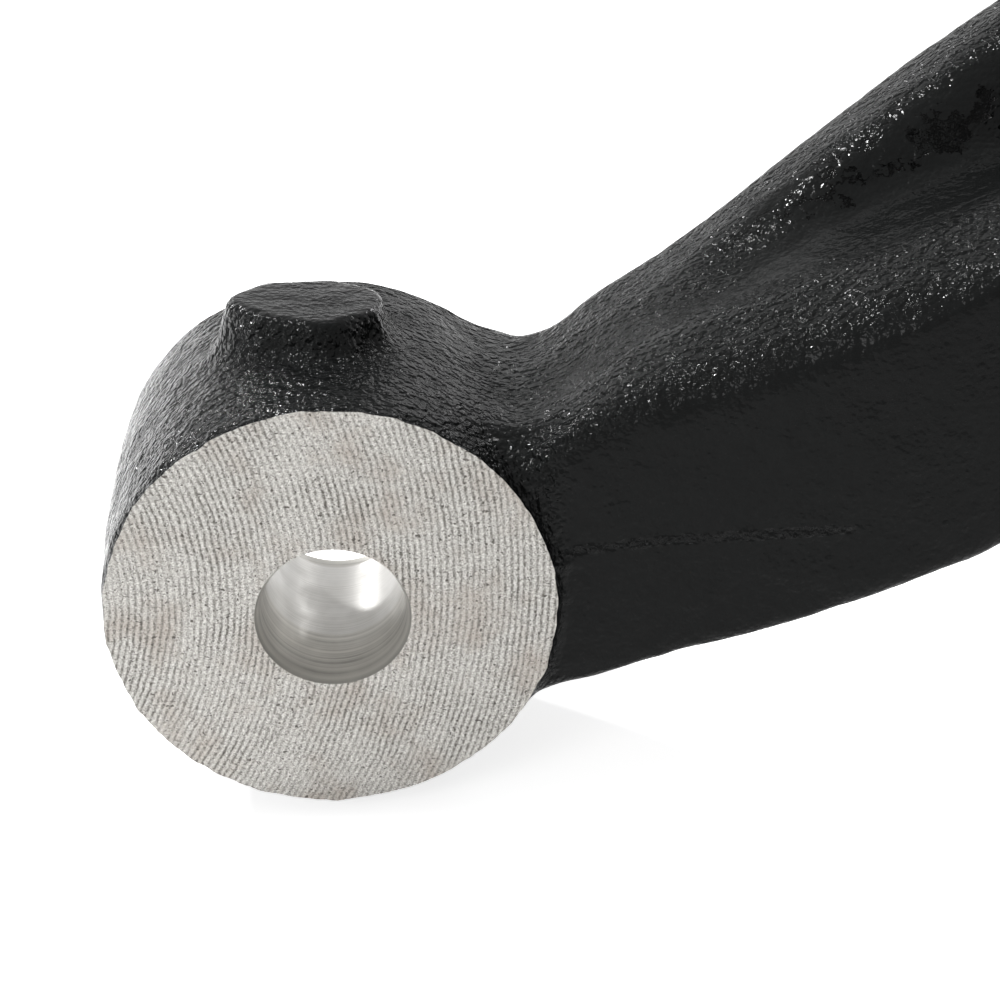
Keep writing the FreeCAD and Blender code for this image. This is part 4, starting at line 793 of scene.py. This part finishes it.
def sleeve(along, around):
    """Grip surface: radius swells by 0.9 mm at each rib and in a slow palm swell, and is round at both ends.

    along runs 0 to 1 from the mouth to the closed end, and around is the angle about the bar.
    """
    length = grip_high[0] - grip_low[0]
    end = 0.02 + 0.98 * np.clip((1.0 - along) * length / 9.0, 0.0, 1.0)
    mouth = np.clip(along * length / 3.0, 0.0, 1.0)
    ribbed = ease(0.06, 0.12, along) * (1.0 - ease(0.86, 0.92, along))
    ribs = 0.9 * ribbed * np.cos(math.pi * GRIP_RIBS * along) ** 2
    palm = 0.7 * np.sin(math.pi * along)
    radius = (GRIP_R - 1.7 + ribs + palm) * np.sqrt(1.0 - (1.0 - end) ** 2)
    radius = radius - 1.6 * (1.0 - np.sqrt(1.0 - (1.0 - mouth) ** 2))
    y = grip_middle[1] + radius * np.cos(around)
    z = grip_middle[2] + radius * np.sin(around)
    return np.stack(np.broadcast_arrays(grip_low[0] + along * length, y, z), -1)


def carried_round(name, surface, rows, sides):
    """A closed skin from a surface of two parameters, along 0 to 1 and round a full turn."""
    along = np.linspace(0.0, 1.0, rows)
    around = np.linspace(0.0, 2.0 * math.pi, sides, endpoint=False)
    spots = surface(along[:, None], around[None, :]).reshape(-1, 3)
    return mesh_of(name, spots, ring_faces(rows, sides))


grip = carried_round("ribbed_grip", sleeve, 180, 72)
grip.data.materials.append(rubber)
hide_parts("handle_grip")
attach(grip, "arm")


# ---- The bumper: a rubber buffer under the arch that meets the changer's side, with its sunk screw and nut.
give(rubber, "bumper")
give(zinc, "bumper_screw", "bumper_nut")


# ---- The spring's eye: a zinc plated eyebolt through the far wall, for the arm's own return spring.
give(zinc, "spring_eye", "spring_eye_nut")


# ---- The camera: a short tele lens close to the boss, looking a little down on its machined face and along
# the rising arm. Its place is in metres, and its three axes are unit vectors.
SENSOR = 36.0
LENS_TO_SENSOR = 1.474
camera_data = bpy.data.cameras.new("camera")
camera_data.sensor_width = SENSOR
camera_data.lens = LENS_TO_SENSOR * SENSOR
camera_data.clip_start = 0.01
camera = bpy.data.objects.new("camera", camera_data)
bpy.context.scene.collection.objects.link(camera)
right = Vector((0.99571, -0.08269, 0.04155))
up = Vector((0.0, 0.44901, 0.89353))
back = Vector((-0.09254, -0.88969, 0.44708))
turned = Matrix((right, up, back)).transposed().to_4x4()
camera.matrix_world = Matrix.Translation((0.00498, -0.24054, 0.13019)) @ turned
bpy.context.scene.camera = camera


# ---- The studio floor: a pale matt sheet under the lowest point of the object. It glows for rays that come
# straight, mirrored or through a clear piece to the camera, so that it reads white but lights nothing.
FLOOR_HALF = 3000.0
floor_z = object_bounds()[0][2] * 1000.0
corners = np.array([[-1, -1, 0], [1, -1, 0], [1, 1, 0], [-1, 1, 0]]) * FLOOR_HALF
floor = mesh_of("floor", corners + [0, 0, floor_z], [[0, 1, 2, 3]], smooth=False)
floor_paint, nodes, links, shader = new_finish("studio_floor")
shader.inputs["Base Color"].default_value = (0.86, 0.86, 0.86, 1.0)
shader.inputs["Roughness"].default_value = 0.9
shader.inputs["Specular IOR Level"].default_value = 0.0
rays = nodes.new("ShaderNodeLightPath")
seen = sums(nodes, links, "MAXIMUM", rays.outputs["Is Camera Ray"], rays.outputs["Is Glossy Ray"])
seen = sums(nodes, links, "MAXIMUM", seen, rays.outputs["Is Transmission Ray"])
glow = nodes.new("ShaderNodeEmission")
glow.inputs["Strength"].default_value = 0.74
both = nodes.new("ShaderNodeAddShader")
chosen = nodes.new("ShaderNodeMixShader")
links.new(shader.outputs[0], both.inputs[0])
links.new(glow.outputs[0], both.inputs[1])
links.new(seen, chosen.inputs[0])
links.new(shader.outputs[0], chosen.inputs[1])
links.new(both.outputs[0], chosen.inputs[2])
links.new(chosen.outputs[0], nodes["Material Output"].inputs["Surface"])
floor.data.materials.append(floor_paint)


# ---- The room: an even white surround, which the camera and mirrored rays see at full strength and which
# lights the object with less.
ROOM_LIGHT = 0.42
world = bpy.data.worlds.new("studio")
bpy.context.scene.world = world
world.use_nodes = True
nodes, links = world.node_tree.nodes, world.node_tree.links
rays = nodes.new("ShaderNodeLightPath")
seen = sums(nodes, links, "MAXIMUM", rays.outputs["Is Camera Ray"], rays.outputs["Is Glossy Ray"])
seen = sums(nodes, links, "MAXIMUM", seen, rays.outputs["Is Transmission Ray"])
nodes["Background"].inputs["Color"].default_value = (1, 1, 1, 1)
links.new(band(nodes, links, seen, 0.0, 1.0, ROOM_LIGHT, 1.0), nodes["Background"].inputs["Strength"])


# ---- The lamps: small bright ones above, left and right behind the object, which glint on the enamel, and a
# larger soft one in front for the machined face. Places and sizes are in metres.
def soft_lamp(name, spot, aim, size, watts):
    """A rectangular lamp at a spot, turned to face its aim."""
    data = bpy.data.lights.new(name, "AREA")
    data.shape = "RECTANGLE"
    data.size, data.size_y = size
    data.energy = watts
    lamp = bpy.data.objects.new(name, data)
    bpy.context.scene.collection.objects.link(lamp)
    direction = Vector(aim) - Vector(spot)
    lamp.location = spot
    lamp.rotation_euler = direction.to_track_quat("-Z", "Y").to_euler()


soft_lamp("overhead", (-0.50, 0.14, 0.84), (0.04, 0.0, 0.03), (0.05, 0.05), 10.5)
soft_lamp("left", (-0.52, 0.70, 0.46), (0.0, 0.0, 0.02), (0.05, 0.05), 3.8)
soft_lamp("right", (0.45, 0.75, 0.42), (0.02, 0.0, 0.03), (0.14, 0.10), 0.6)
soft_lamp("front", (-0.42, -0.58, 0.42), (0.0, 0.0, 0.0), (0.25, 0.22), 1.2)

bpy.context.scene.view_settings.view_transform = "Standard"
